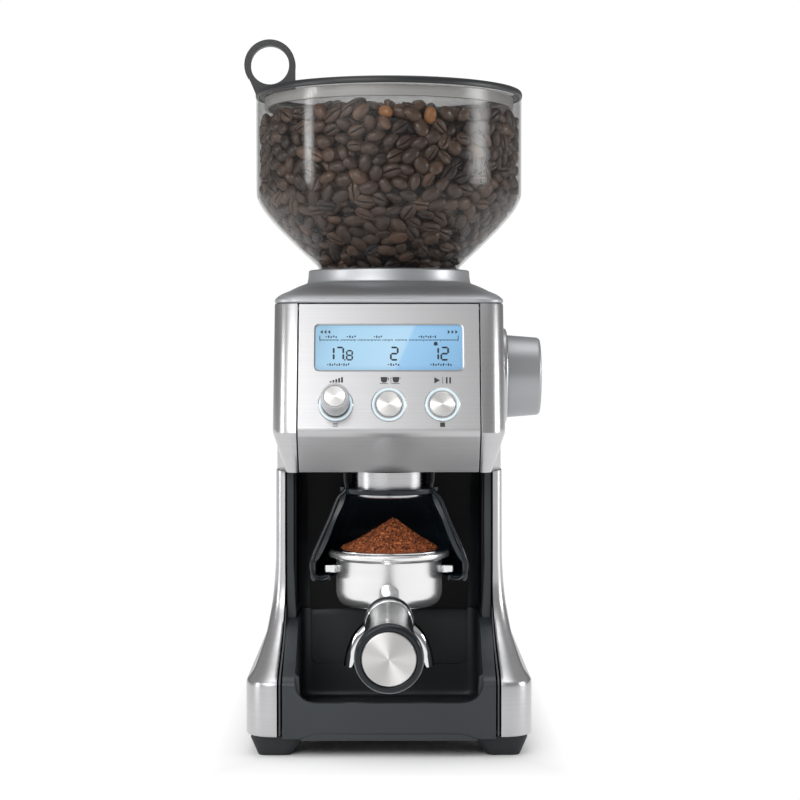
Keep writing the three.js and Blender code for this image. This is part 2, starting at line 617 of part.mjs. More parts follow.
function portafilter() {
  const bowl = [
    [0, 72.6], [22, 72.6], [26.6, 74.4], [BOWL_R, 79], [BOWL_R, 98.4], [RIM_R, 99.6], [RIM_R, 102], [32.2, RIM_Z],
    [27, RIM_Z], [27, 76.6], [0, 76.6],
  ];
  const inside = [[0, 76.6], [27, 76.6], [27, 110], [0, 110]];
  const neck = [[0, 0], [5.4, 0], [6, 12], [8.6, 22], [10.4, 32], [0, 32]];
  const slope = turned(neck, 24).rotateX(Math.PI / 2 + NECK_DROOP).translate(0, NECK_START[0], NECK_START[1]);
  const lugs = [-1, 1].map((s) => box(Math.min(s * 25, s * 35.4), Math.max(s * 25, s * 35.4), -8, 4, 90.7, 95.6));
  const body = join(
    at(turned(bowl, 32), 0, OUTLET_Y, 0),
    slope,
    alongHandle(rod(10.6, 19, 22, 24)),
    ...lugs.map((lug) => at(lug, 0, OUTLET_Y, 0)),
  );
  const drain = at(rod(3.4, 60, 90, 16), 0, OUTLET_Y, 0);
  const beyond = box(-14, 14, -70, HANDLE_START[0] - 22, 50, 100);
  piece("portafilter_body", "chrome", cut(body, at(turned(inside, 32), 0, OUTLET_Y, 0), drain, beyond));
  const basket = [
    [0, 79.6], [25, 79.6], [26.4, 81], [26.4, 103.1], [32, 103.1], [32, 104], [25.7, 104], [25.7, 81.4], [24.6, 80.4],
    [0, 80.4],
  ];
  piece("filter_basket", "chrome", at(turned(basket, 28), 0, OUTLET_Y, 0));
  const heap = [
    [0, 80.8], [24, 80.8], [25.3, 82], [25.3, 104], [26.6, 104.5], [22, 108.5], [15, 113], [8, 117.6], [3, 120], [0, 120.4],
  ];
  piece("ground_coffee", "coffee", at(turned(heap, 24), 0, OUTLET_Y, 0));
}

function spoutsAndHandle() {
  const arms = [-1, 1].map((s) => {
    const path = new THREE.CatmullRomCurve3(
      [[2, 65.6], [11, 63.5], [17.5, 57.5], [20.6, 49], [21.3, 39]].map(([x, z]) => new THREE.Vector3(s * x, OUTLET_Y, z)),
    );
    const section = new THREE.Shape(circle(4.3, 10).map(([x, y]) => new THREE.Vector2(x, y)));
    return new THREE.ExtrudeGeometry(section, { steps: 8, extrudePath: path, bevelEnabled: false });
  });
  const hub = at(rod(7.4, 59, 72.3, 24), 0, OUTLET_Y, 0);
  piece("double_spout", "chrome", join(hub, ...arms));
  const ferrule = [[0, 22.3], [12.4, 22.3], [13, 23], [13, 26.2], [12.2, 27], [12.2, 34], [0, 34]];
  piece("handle_ferrule", "chrome", alongHandle(turned(ferrule, 28)));
  const grip = [
    [0, 34.3], [11.6, 34.3], [12.4, 50], [12.6, 80], [13.8, 112], [15.6, 135], [16.1, 142], [15.6, HANDLE_LENGTH - 0.6],
    [13, HANDLE_LENGTH - 0.6], [13, 142], [0, 142],
  ];
  piece("portafilter_handle", "black", alongHandle(turned(grip, 24)));
  const cap = [[0, 142.3], [12.6, 142.3], [12.6, HANDLE_LENGTH - 0.4], [12, HANDLE_LENGTH], [0, HANDLE_LENGTH]];
  piece("handle_end_cap", "steel", alongHandle(turned(cap, 32)));
}

function hopper() {
  const funnel = [
    [0, 242], [NECK_R, 242], [NECK_R, 257.6], [50.2, 267.3], [61.6, 278.7], [66.8, 284.4], [71.3, 290.1], [74.1, 296],
    [74.3, HOPPER_SEAM], [71.7, HOPPER_SEAM], [69.3, 291.6], [59.8, 280.5], [48.4, 269], [37.4, 258.6], [37.4, 244.4],
    [0, 244.4],
  ];
  const port = (x) => at(rod(13, 235, 250, 20), x, 0, 0);
  const made = cut(turned(funnel, 40), port(-20), port(20), rod(3.5, 235, 250, 16));
  piece("hopper", "smoke", made.translate([0, BURR_Y, 0]));
  const wall = [
    [72.2, HOPPER_SEAM + 0.3], [74.6, HOPPER_SEAM + 0.3], [HOPPER_R, 300], [HOPPER_R, HOPPER_TOP],
    [HOPPER_R - 2.4, HOPPER_TOP], [HOPPER_R - 2.4, 300.6],
  ];
  piece("hopper_wall", "smoke", at(ringed(wall, 40), 0, BURR_Y, 0));
  const gate = cut(rod(36.8, 244.8, 246.6, 28), port(-20), port(20));
  piece("hopper_gate", "black", join(gate, rod(2.9, 243, 246, 16), rod(5, 246, 262, 16)).translate([0, BURR_Y, 0]));
  const knob = join(turned([[0, 262.3], [8, 262.3], [11, 266], [10, 270], [0, 270]], 24), box(-9, 9, -2.4, 2.4, 268, 276));
  piece("hopper_lock_knob", "black", knob.translate([0, BURR_Y, 0]));
  const fill = [
    [0, 277.4], [12.4, 277.4], [12.4, 247.2], [36.8, 247.2], [36.8, 259], [47.8, 270], [59.2, 281.6], [68.5, 292.2],
    [71.6, 301], [71.6, BEAN_TOP - 6], [60, BEAN_TOP - 1], [0, BEAN_TOP],
  ];
  piece("bean_fill", "bean", at(turned(fill, 30), 0, BURR_Y, 0));
  const seat = [[28.8, 230.6], [43, 230.6], [43, 239.4], [38.6, 239.4], [28.8, 232.6]];
  piece("hopper_seat", "dark", at(ringed(seat, 36), 0, BURR_Y, 0));
}

function lid() {
  piece("lid_disc", "smoke", at(rod(73, 352.5, 355.2, 36), 0, BURR_Y, 0));
  const skirt = [[68, 344], [70.2, 344], [70.2, 352.2], [68, 352.2]];
  piece("lid_skirt", "smoke", at(ringed(skirt, 36), 0, BURR_Y, 0));
  const band = [
    [73.4, 352.6], [75.3, 352.6], [75.3, 355.8], [74.6, LID_TOP], [69.6, LID_TOP], [69.6, 355.5], [73.4, 355.5],
  ];
  const ring = frontal(circle(FINGER_R, 32, FINGER_X, FINGER_Z), -3, 3);
  const tab = frontal([[-75, 356], [-53.3, 356], [-53.4, 372], [-81, 372]], -3, 3);
  const hole = frontal(circle(11, 28, FINGER_X, FINGER_Z), -6, 6);
  const flange = box(-74, -52, -5, 5, 355.6, 357.4);
  const rim = join(ringed(band, 36), flange, cut(join(ring, tab), hole));
  piece("lid_rim", "black", rim.translate([0, BURR_Y, 0]));
}

sideSkins();
fascia();
topCover();
rearCover();
base();
bayFrame();
grindsTray();
controls();
gearTrain();
gearbox();
motor();
burrs();
adjuster();
dial();
chute();
cradle();
portafilter();
spoutsAndHandle();
hopper();
lid();

export default root;
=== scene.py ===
import math
import random

import bmesh
import bpy
import numpy as np
from mathutils import Matrix, Vector

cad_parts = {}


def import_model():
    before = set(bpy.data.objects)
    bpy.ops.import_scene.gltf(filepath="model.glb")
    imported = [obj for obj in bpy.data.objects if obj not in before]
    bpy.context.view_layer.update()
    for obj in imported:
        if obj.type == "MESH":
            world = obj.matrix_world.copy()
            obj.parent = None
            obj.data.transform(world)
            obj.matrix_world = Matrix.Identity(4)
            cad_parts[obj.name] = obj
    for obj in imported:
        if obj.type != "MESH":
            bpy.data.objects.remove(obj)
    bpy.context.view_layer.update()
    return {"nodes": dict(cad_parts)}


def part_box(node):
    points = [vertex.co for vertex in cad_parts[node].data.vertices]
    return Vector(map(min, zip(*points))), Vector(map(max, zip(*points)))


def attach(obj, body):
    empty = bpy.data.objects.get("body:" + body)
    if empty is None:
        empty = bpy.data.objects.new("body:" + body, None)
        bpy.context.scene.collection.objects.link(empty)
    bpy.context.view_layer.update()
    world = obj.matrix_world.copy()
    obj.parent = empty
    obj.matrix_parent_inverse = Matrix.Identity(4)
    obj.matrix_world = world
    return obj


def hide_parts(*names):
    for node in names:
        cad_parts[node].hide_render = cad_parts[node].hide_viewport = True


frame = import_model()

MM = 0.001  # the tables below are in millimetres, the scene is in metres
SEED = 7
rng = random.Random(SEED)
nrng = np.random.default_rng(SEED)


# ---------------------------------------------------------------- places taken from the frame
def centre(node):
    low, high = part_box(node)
    return (low + high) / 2 * 1000


def span(node):
    """The low and high corners of a CAD node, in millimetres."""
    low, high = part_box(node)
    return low * 1000, high * 1000


BURR_Y = centre("hopper").y
OUT_Y = centre("outlet_ring").y
DIAL = centre("grind_size_dial")
HEAD_TOP = span("side_skin_right")[1].z
HALF = span("top_cover")[1].x
BACK = span("side_skin_right")[1].y
AT_BURR = Matrix.Translation((0, BURR_Y * MM, 0))
AT_OUTLET = Matrix.Translation((0, OUT_Y * MM, 0))
BEND = Vector((0, -35, 168))  # where the fascia starts to lean back above the chin
LEAN_BACK, LEAN_UP = 21, 68
SLOPE = math.atan2(LEAN_BACK, LEAN_UP)


# ---------------------------------------------------------------- materials
def times(color, factor):
    return [c * factor for c in color]


class Nodes:
    """Short calls for building a node tree."""

    def __init__(self, tree):
        self.tree = tree

    def node(self, kind, *sources, **values):
        """A node with its settings; each source is linked to the next input, or is that input's value."""
        made = self.tree.nodes.new(kind)
        for key, value in values.items():
            setattr(made, key, value)
        for source, target in zip(sources, made.inputs):
            if isinstance(source, bpy.types.NodeSocket):
                self.link(source, target)
            else:
                target.default_value = source
        return made

    def link(self, source, target):
        self.tree.links.new(source, target)

    def calc(self, operation, *sources):
        return self.node("ShaderNodeMath", *sources, operation=operation).outputs[0]

    def split(self, vector):
        return self.node("ShaderNodeSeparateXYZ", vector).outputs

    def ramp(self, fac, stops):
        made = self.node("ShaderNodeValToRGB", fac)
        ends = made.color_ramp.elements
        while len(ends) < len(stops):
            ends.new(0.5)
        for element, (place, color) in zip(ends, stops):
            element.position = place
            element.color = (*color, 1)
        return made.outputs[0]

    def spread(self, fac, low, high, start=0.0, end=1.0):
        return self.node("ShaderNodeMapRange", fac, start, end, low, high).outputs[0]


class Shade(Nodes):
    """A material being built: a Principled node, object coordinates and short calls for its usual inputs."""

    def __init__(self, name):
        self.mat = bpy.data.materials.new(name)
        self.mat.use_nodes = True
        super().__init__(self.mat.node_tree)
        self.bsdf = self.tree.nodes["Principled BSDF"]
        self.coords = self.node("ShaderNodeTexCoord").outputs["Object"]

    def noise(self, scale, stretch=(1, 1, 1), detail=4, rough=0.55, coords=None):
        mapping = self.node("ShaderNodeMapping", coords or self.coords)
        mapping.inputs["Scale"].default_value = stretch
        made = self.node("ShaderNodeTexNoise", mapping.outputs[0])
        made.inputs["Scale"].default_value = scale
        made.inputs["Detail"].default_value = detail
        made.inputs["Roughness"].default_value = rough
        return made.outputs["Fac"]

    def feed(self, socket, source):
        self.link(source, self.bsdf.inputs[socket])

    def tone(self, fac, dark, light, socket="Base Color", low=0.3, high=0.7):
        self.feed(socket, self.ramp(fac, [(low, dark), (high, light)]))

    def rough(self, fac, low, high, start=0.3, end=0.7):
        self.feed("Roughness", self.spread(fac, low, high, start, end))

    def multiplied(self, a, b, factor):
        made = self.node("ShaderNodeMix", factor, data_type="RGBA", blend_type="MULTIPLY")
        self.link(a, made.inputs[6])
        self.link(b, made.inputs[7])
        return made.outputs[2]

    def bump(self, fac, strength, distance):
        made = self.node("ShaderNodeBump", strength, distance)
        self.link(fac, made.inputs["Height"])
        self.feed("Normal", made.outputs[0])

    def set(self, **values):
        for key, value in values.items():
            self.bsdf.inputs[key.replace("_", " ")].default_value = value

    def upright(self):
        """Lets highlights stretch up the surface, across grooves that lie level."""
        normal = self.node("ShaderNodeTexCoord").outputs["Normal"]
        level = self.node("ShaderNodeVectorMath", normal, (0, 0, 1), operation="CROSS_PRODUCT")
        self.feed("Tangent", level.outputs[0])


ACROSS = 0.25  # a quarter turn: the blur runs across the tangent instead of along it


def brushed(name, color, low, high, grain=(6, 6, 2600), depth=0.02, aniso=0.7):
    """Steel brushed level, its fine grooves lying across the height."""
    s = Shade(name)
    fine = s.noise(1.0, grain, 2, 0.5)
    broad = s.noise(1.0, times(grain, 0.4), 1, 0.5)
    s.tone(broad, times(color, 0.965), times(color, 1.02))
    s.rough(fine, low, high)
    s.upright()
    s.set(Metallic=1.0, Anisotropic=aniso, Anisotropic_Rotation=ACROSS)
    s.bump(fine, depth, 0.00012)
    return s.mat


def spun(name, color, low, high):
    """Steel turned on a lathe: rings of fine grooves about the object's own Z axis."""
    s = Shade(name)
    x, y, _ = s.split(s.coords)
    flat = s.node("ShaderNodeCombineXYZ", x, y)
    radius = s.node("ShaderNodeVectorMath", flat.outputs[0], operation="LENGTH")
    line = s.node("ShaderNodeCombineXYZ", radius.outputs["Value"])
    grooves = s.noise(1.0, (1700, 1, 1), 2, 0.6, line.outputs[0])
    s.tone(grooves, times(color, 0.94), color)
    s.rough(grooves, low, high)
    s.set(Metallic=1.0, Anisotropic=0.96, Anisotropic_Rotation=ACROSS)
    round_axis = s.node("ShaderNodeTangent", direction_type="UV_MAP", uv_map="UVMap")
    s.feed("Tangent", round_axis.outputs[0])
    return s.mat


def satin(name, color, rough):
    """Polished metal that blurs what it reflects round its girth."""
    s = Shade(name)
    haze = s.noise(30, (1, 1, 6), 2, 0.5)
    s.tone(haze, times(color, 0.96), color)
    s.rough(haze, rough, rough + 0.03)
    s.upright()
    s.set(Metallic=0.9, Anisotropic=0.8, Anisotropic_Rotation=0.0)
    return s.mat


def moulded(name, color, rough, grain=2600, depth=0.12, spec=0.5, coat=0.0, vary=0.12):
    """Moulded plastic or rubber: fine grain and slow changes of colour and roughness."""
    s = Shade(name)
    fine = s.noise(grain, (1, 1, 1), 3, 0.6)
    slow = s.noise(22, (1, 1, 1), 3, 0.5)
    s.tone(slow, times(color, 1 - vary), times(color, 1 + vary))
    s.rough(slow, rough - 0.04, rough + 0.05)
    s.set(Specular_IOR_Level=spec, Coat_Weight=coat, Coat_Roughness=0.08)
    s.bump(fine, depth, 0.0002)
    return s.mat


def polished(name, color, rough):
    """Chrome: mirror bright, with faint polishing haze."""
    s = Shade(name)
    haze = s.noise(35, (1, 1, 1), 4, 0.6)
    s.tone(haze, times(color, 0.95), color)
    s.rough(haze, rough, rough + 0.05, 0.35, 0.75)
    s.set(Metallic=1.0)
    s.bump(s.noise(900, (1, 1, 1), 2, 0.5), 0.02, 0.0002)
    return s.mat


def smoky(name, color, alpha, rough, ior):
    """Tinted clear plastic that is seen through, cloudier where it is seen edge on."""
    s = Shade(name)
    haze = s.noise(14, (1, 1, 1), 3, 0.5)
    s.tone(haze, times(color, 0.9), color)
    edge = s.node("ShaderNodeLayerWeight", 0.35)
    s.feed("Alpha", s.spread(edge.outputs["Facing"], *alpha))
    s.rough(haze, rough, rough + 0.03)
    s.set(IOR=ior)
    return s.mat


def lit(name, color, shine, strength):
    """Translucent plastic lit from behind."""
    s = Shade(name)
    slow = s.noise(60, (1, 1, 1), 2, 0.5)
    s.tone(slow, times(color, 0.92), color)
    s.tone(slow, times(shine, 0.95), shine, "Emission Color")
    s.set(Emission_Strength=strength, Roughness=0.3, Coat_Weight=0.3, Coat_Roughness=0.05)
    return s.mat


def glow(name):
    """A blue backlight, darker towards its rim, with a painted reflection of glare: paler to the left of a slanting
    edge.
    """
    s = Shade(name)
    x, y, _ = s.split(s.coords)
    # the slanting edge of the painted glare
    lean = s.calc("MULTIPLY_ADD", y, -0.42, x)
    across = s.ramp(s.spread(lean, 0, 1, -0.058, 0.022), GLOW_AND_GLARE_ACROSS)
    rise = s.ramp(s.spread(y, 0, 1, 0.0337, 0.0596), GLOW_RISE)
    s.feed("Emission Color", s.multiplied(across, rise, 1.0))
    s.tone(s.noise(40, (1, 1, 1), 2, 0.5), (0.04, 0.07, 0.1), (0.05, 0.08, 0.11))
    s.set(Emission_Strength=0.85, Roughness=0.15)
    return s.mat


def cast(name, color, rough):
    """Satin metallic paint on a casting."""
    s = Shade(name)
    fleck = s.noise(4200, (1, 1, 1), 2, 0.7)
    slow = s.noise(18, (1, 1, 1), 3, 0.5)
    s.tone(fleck, times(color, 0.92), color, low=0.25, high=0.75)
    s.rough(slow, rough - 0.03, rough + 0.04)
    s.set(Metallic=0.75)
    s.bump(fleck, 0.05, 0.0001)
    return s.mat


def tinted(name, stops, rough, depth, coat, grain):
    """Beans and grounds: colour from each piece's own tint and painted shade, darkened by painted shade where the
    noise sinks, roughened by noise.
    """
    s = Shade(name)
    tint_and_shade = s.node("ShaderNodeAttribute", attribute_name="tint_and_shade")
    mottle = s.noise(grain, (1, 1, 1), 4, 0.6)
    shadow = s.ramp(mottle, [(0.25, (0.55, 0.5, 0.48)), (0.7, (1, 1, 1))])
    s.feed("Base Color", s.multiplied(s.ramp(tint_and_shade.outputs["Fac"], stops), shadow, 0.7))
    s.rough(mottle, rough - 0.1, rough + 0.12)
    s.set(Coat_Weight=coat, Coat_Roughness=0.3)
    s.bump(mottle, depth, 0.0004)
    return s.mat


# across the display: darker towards both rims, and paler left of the slanting edge at 0.6, a painted reflection of
# glare
GLOW_AND_GLARE_ACROSS = [
    (0.0, (0.27, 0.5, 0.68)), (0.12, (0.36, 0.62, 0.82)), (0.5, (0.46, 0.71, 0.9)), (0.575, (0.46, 0.7, 0.89)),
    (0.6, (0.3, 0.58, 0.86)), (1.0, (0.22, 0.45, 0.7)),
]
GLOW_RISE = [
    (0.0, (0.72, 0.76, 0.8)), (0.14, (0.95, 0.96, 0.97)), (0.6, (1, 1, 1)), (0.9, (1, 1, 1)),
    (1.0, (0.82, 0.85, 0.88)),
]
BEAN_TONES = [
    (0.0, (0.005, 0.003, 0.002)), (0.2, (0.024, 0.012, 0.008)), (0.5, (0.078, 0.043, 0.027)),
    (0.86, (0.19, 0.105, 0.06)), (1.0, (0.46, 0.19, 0.055)),
]
COFFEE_TONES = [
    (0.0, (0.03, 0.007, 0.003)), (0.45, (0.28, 0.068, 0.017)), (0.8, (0.52, 0.14, 0.035)), (1.0, (0.8, 0.28, 0.08)),
]
STEEL = (0.552, 0.552, 0.561)
M = {
    "steel": brushed("steel_across", STEEL, 0.29, 0.35),
    "steel_up": brushed("steel_outlet", STEEL, 0.24, 0.3),
    "spun": spun("steel_spun", (0.76, 0.75, 0.74), 0.38, 0.42),
    "bowl": satin("steel_bowl", (0.88, 0.88, 0.88), 0.21),
    "frame": brushed("steel_frame", (0.4, 0.4, 0.41), 0.3, 0.36),
    "chrome": polished("chrome", (0.83, 0.83, 0.84), 0.04),
    "satin": cast("satin_silver", (0.42, 0.43, 0.445), 0.42),
    "knob": moulded("knob_silver", (0.42, 0.42, 0.43), 0.34, 1800, 0.05, 0.7, 0.2, 0.05),
    "black": moulded("black_plastic", (0.012, 0.013, 0.015), 0.4),
    "gloss": moulded("gloss_black", (0.007, 0.01, 0.013), 0.2, 900, 0.02, 0.32, 0.12),
    "cradle": moulded("cradle_plastic", (0.012, 0.019, 0.027), 0.26, 900, 0.02, 0.6, 0.3),
    "grey": moulded("grey_plastic", (0.027, 0.032, 0.036), 0.38, 2200, 0.06),
    # the bay's front edges: the grey plastic made lighter, painted light where they face the lamps
    "rim": moulded("grey_flange_painted_light", (0.06, 0.065, 0.068), 0.4, 2200, 0.06),
    # the bay's inside: black plastic darkened further, painted shade
    "deep": moulded("bay_plastic_painted_shade", (0.006, 0.006, 0.007), 0.5, 2200, 0.1, 0.3),
    "rubber": moulded("foot_rubber", (0.02, 0.022, 0.024), 0.6, 1500, 0.2, 0.35),
    "smoke": smoky("smoky_wall", (0.03, 0.028, 0.027), (0.14, 0.4), 0.06, 1.62),
    # the lid's skirt: the smoky plastic made pale and opaque, painted light
    "smoke_painted_light": moulded("smoky_plug_painted_light", (0.52, 0.51, 0.49), 0.3, 900, 0.02, 0.5, 0.3, 0.05),
    "lid": smoky("smoky_lid", (0.2, 0.195, 0.185), (0.26, 0.5), 0.12, 1.7),
    "ring": lit("lit_ring", (0.35, 0.39, 0.42), (0.62, 0.78, 0.85), 0.7),
    "display": glow("lit_display_painted_glare"),
    "ink": moulded("display_ink", (0.006, 0.012, 0.02), 0.5, 800, 0.0),
    "print": moulded("printed_marks", (0.03, 0.03, 0.032), 0.55, 1500, 0.02),
    "nylon": moulded("white_nylon", (0.72, 0.7, 0.64), 0.45, 1500, 0.08),
    "iron": brushed("machined_metal", (0.42, 0.42, 0.43), 0.28, 0.42, (60, 60, 900), 0.08, 0.2),
    "board": moulded("circuit_board", (0.015, 0.13, 0.04), 0.35, 1200, 0.2),
    "bean": tinted("roasted_bean", BEAN_TONES, 0.33, 0.1, 0.3, 420),
    "coffee": tinted("ground_coffee", COFFEE_TONES, 0.75, 0.3, 0.0, 2400),
}


# ---------------------------------------------------------------- mesh helpers, in millimetres
CREASE = 32  # degrees over which an edge is sharp, unless a piece says otherwise
UV_PER_MM = 0.2


def placed(name, data):
    obj = bpy.data.objects.new(name, data)
    bpy.context.scene.collection.objects.link(obj)
    return obj


def made(name, verts, faces, look, uvs=None, sharp=CREASE, matrix=None):
    """One mesh object from points in millimetres, smooth shaded with sharp creases over the angle."""
    mesh = bpy.data.meshes.new(name)
    mesh.from_pydata((np.asarray(verts, float) * MM).tolist(), [], [tuple(map(int, f)) for f in faces])
    mesh.validate()
    if uvs is not None:
        layer = mesh.uv_layers.new(name="UVMap")
        flat = np.asarray(uvs, float)
        if len(flat) != len(mesh.loops) or len(flat) == len(mesh.vertices):
            loops = np.empty(len(mesh.loops), int)
            mesh.loops.foreach_get("vertex_index", loops)
            flat = flat[loops]
        layer.data.foreach_set("uv", flat.ravel())
    obj = placed(name, mesh)
    if matrix is not None:
        obj.matrix_world = matrix
    mesh.materials.append(M[look])
    outward(mesh)
    creased(mesh, sharp)
    return obj


def outward(mesh):
    bm = bmesh.new()
    bm.from_mesh(mesh)
    bmesh.ops.recalc_face_normals(bm, faces=bm.faces)
    bm.to_mesh(mesh)
    bm.free()


def creased(mesh, angle):
    mesh.polygons.foreach_set("use_smooth", [True] * len(mesh.polygons))
    bm = bmesh.new()
    bm.from_mesh(mesh)
    limit = math.radians(angle)
    for edge in bm.edges:
        edge.smooth = len(edge.link_faces) == 2 and edge.calc_face_angle(0) < limit
    bm.to_mesh(mesh)
    bm.free()


def baked(obj, sharp=CREASE):
    """The object's mesh with its modifiers applied."""
    bpy.context.view_layer.update()
    graph = bpy.context.evaluated_depsgraph_get()
    mesh = bpy.data.meshes.new_from_object(obj.evaluated_get(graph))
    obj.modifiers.clear()
    obj.data = mesh
    if sharp is not None:
        creased(mesh, sharp)
    return obj


def bevelled(obj, width, segments=3, angle=40, sharp=CREASE):
    mod = obj.modifiers.new("edge", "BEVEL")
    mod.width = width * MM
    mod.segments = segments
    mod.limit_method = "ANGLE"
    mod.angle_limit = math.radians(angle)
    creased(baked(obj, sharp).data, sharp)
    flat = obj.modifiers.new("flat", "WEIGHTED_NORMAL")
    flat.keep_sharp = True
    flat.weight = 80
    return baked(obj, None)


def cut(obj, *cutters):
    for cutter in cutters:
        mod = obj.modifiers.new("cut", "BOOLEAN")
        mod.operation = "DIFFERENCE"
        mod.solver = "EXACT"
        mod.object = cutter
    baked(obj)
    for cutter in cutters:
        bpy.data.objects.remove(cutter)
    return obj


def joined(name, parts, look=None):
    """Several objects as one, keeping the first one's place."""
    bpy.ops.object.select_all(action="DESELECT")
    for part in parts:
        part.select_set(True)
    bpy.context.view_layer.objects.active = parts[0]
    bpy.ops.object.join()
    parts[0].name = name
    parts[0].data.name = name
    if look is not None:
        parts[0].data.materials.clear()
        parts[0].data.materials.append(M[look])
        parts[0].data.polygons.foreach_set("material_index", [0] * len(parts[0].data.polygons))
    return parts[0]


def rounded(points, closed=False, steps=5):
    """A path of (a, b) or (a, b, radius) with each radius turned into a short curve."""
    out = []
    count = len(points)
    for i, point in enumerate(points):
        p = np.array(point[:2], float)
        r = point[2] if len(point) > 2 else 0
        if not r or (not closed and i in (0, count - 1)):
            out.append(tuple(p))
            continue
        a = np.array(points[i - 1][:2], float)
        b = np.array(points[(i + 1) % count][:2], float)
        la, lb = np.linalg.norm(a - p), np.linalg.norm(b - p)
        r = min(r, la * 0.49, lb * 0.49)
        p1, p2 = p + (a - p) / la * r, p + (b - p) / lb * r
        for t in np.linspace(0, 1, steps):
            out.append(tuple((1 - t) ** 2 * p1 + 2 * t * (1 - t) * p + t**2 * p2))
    return out


def lathe(name, profile, look, seg=96, matrix=None, closed=False, sharp=CREASE):
    """A profile of (radius, height[, rounding]) turned about Z, with U running round the axis."""
    pts = rounded(profile, closed)
    verts, rows = [], []
    for r, z in pts:
        if r < 1e-6:
            rows.append([len(verts)] * seg)
            verts.append((0, 0, z))
            continue
        rows.append(range(len(verts), len(verts) + seg))
        verts += [(r * math.cos(math.tau * i / seg), r * math.sin(math.tau * i / seg), z) for i in range(seg)]
    faces, uvs = [], []
    count = len(rows)
    for k in range(count if closed else count - 1):
        low, high = rows[k], rows[(k + 1) % count]
        for i in range(seg):
            j = (i + 1) % seg
            quad = [(low[i], i, k), (low[j], i + 1, k), (high[j], i + 1, k + 1), (high[i], i, k + 1)]
            if low[i] == low[j] and high[i] == high[j]:
                continue
            if low[i] == low[j]:
                quad = [(low[i], i + 0.5, k), quad[2], quad[3]]
            elif high[i] == high[j]:
                quad = [quad[0], quad[1], (high[i], i + 0.5, k + 1)]
            faces.append([v for v, _, _ in quad])
            uvs += [(u / seg * 40, v) for _, u, v in quad]
    return made(name, verts, faces, look, uvs, sharp, matrix)


def loft(name, rings, look, closed=False, sharp=CREASE, wrap=True):
    """A skin through rings of points; closed joins last to first, wrap closes each ring."""
    rings = np.asarray(rings, float)
    rows, count = rings.shape[:2]
    verts = rings.reshape(-1, 3)
    steps = np.linalg.norm(np.diff(rings, axis=1, append=rings[:, :1]), axis=2)
    u = np.cumsum(steps, axis=1) * UV_PER_MM
    v = np.repeat(np.arange(rows)[:, None] * 1.0, count, 1)
    uvs = np.stack([u, v], 2).reshape(-1, 2)
    faces = []
    for k in range(rows if closed else rows - 1):
        a, b = k * count, ((k + 1) % rows) * count
        for i in range(count if wrap else count - 1):
            j = (i + 1) % count
            faces.append((a + i, a + j, b + j, b + i))
    if wrap and not closed:
        faces.append(tuple(range(count))[::-1])
        faces.append(tuple(range((rows - 1) * count, rows * count)))
    return made(name, verts, faces, look, uvs, sharp)


def walls(n, k=0):
    """The faces of a prism of n sides whose points start at k."""
    faces = [(k + i, k + (i + 1) % n, k + (i + 1) % n + n, k + i + n) for i in range(n)]
    return faces + [tuple(range(k, k + n))[::-1], tuple(range(k + n, k + 2 * n))]


def prism(name, outline, low, high, look, plane="XY", bevel=0, matrix=None):
    """A flat outline drawn out between low and high, across the plane named."""
    place = {
        "XY": lambda a, b, c: (a, b, c),
        "XZ": lambda a, b, c: (a, c, b),
        "YZ": lambda a, b, c: (c, a, b),
    }[plane]
    verts = [place(a, b, c) for c in (low, high) for a, b in outline]
    uvs = [(v[0] * UV_PER_MM, v[2] * UV_PER_MM) for v in verts]
    obj = made(name, verts, walls(len(outline)), look, uvs, matrix=matrix)
    return bevelled(obj, bevel) if bevel else obj


def rect(x0, x1, y0, y1, r=0, steps=6):
    return rounded([(x0, y0, r), (x1, y0, r), (x1, y1, r), (x0, y1, r)], True, steps)


def swept(name, path, radius, look, seg, squash, smooth):
    """A round bar along a path of points, with its own radius at each end point."""
    pts = np.array(path, float)
    radii = np.broadcast_to(np.array(radius, float), len(pts))
    fine = np.linspace(0, len(pts) - 1, (len(pts) - 1) * smooth + 1)
    line = np.stack([catmull(pts[:, k], fine) for k in range(3)], 1)
    width = np.interp(fine, range(len(pts)), radii)
    rings = []
    for i, p in enumerate(line):
        ahead = line[min(i + 1, len(line) - 1)] - line[max(i - 1, 0)]
        t = ahead / np.linalg.norm(ahead)
        side = np.cross(t, (0, 1, 0))
        side /= np.linalg.norm(side)
        over = np.cross(side, t)
        ring = [
            p + width[i] * (math.cos(a) * side + squash * math.sin(a) * over)
            for a in np.linspace(0, 2 * math.pi, seg, endpoint=False)
        ]
        rings.append(ring)
    return loft(name, rings, look)


def catmull(values, at):
    """Smooth values between whole-number places."""
    n = len(values)
    out = []
    for t in at:
        i = min(int(t), n - 2)
        f = t - i
        p0, p1, p2, p3 = (values[min(max(i + k, 0), n - 1)] for k in (-1, 0, 1, 2))
        bend, twist = 2 * p0 - 5 * p1 + 4 * p2 - p3, 3 * p1 - p0 - 3 * p2 + p3
        out.append(0.5 * (2 * p1 + (p2 - p0) * f + bend * f * f + twist * f**3))
    return np.array(out)


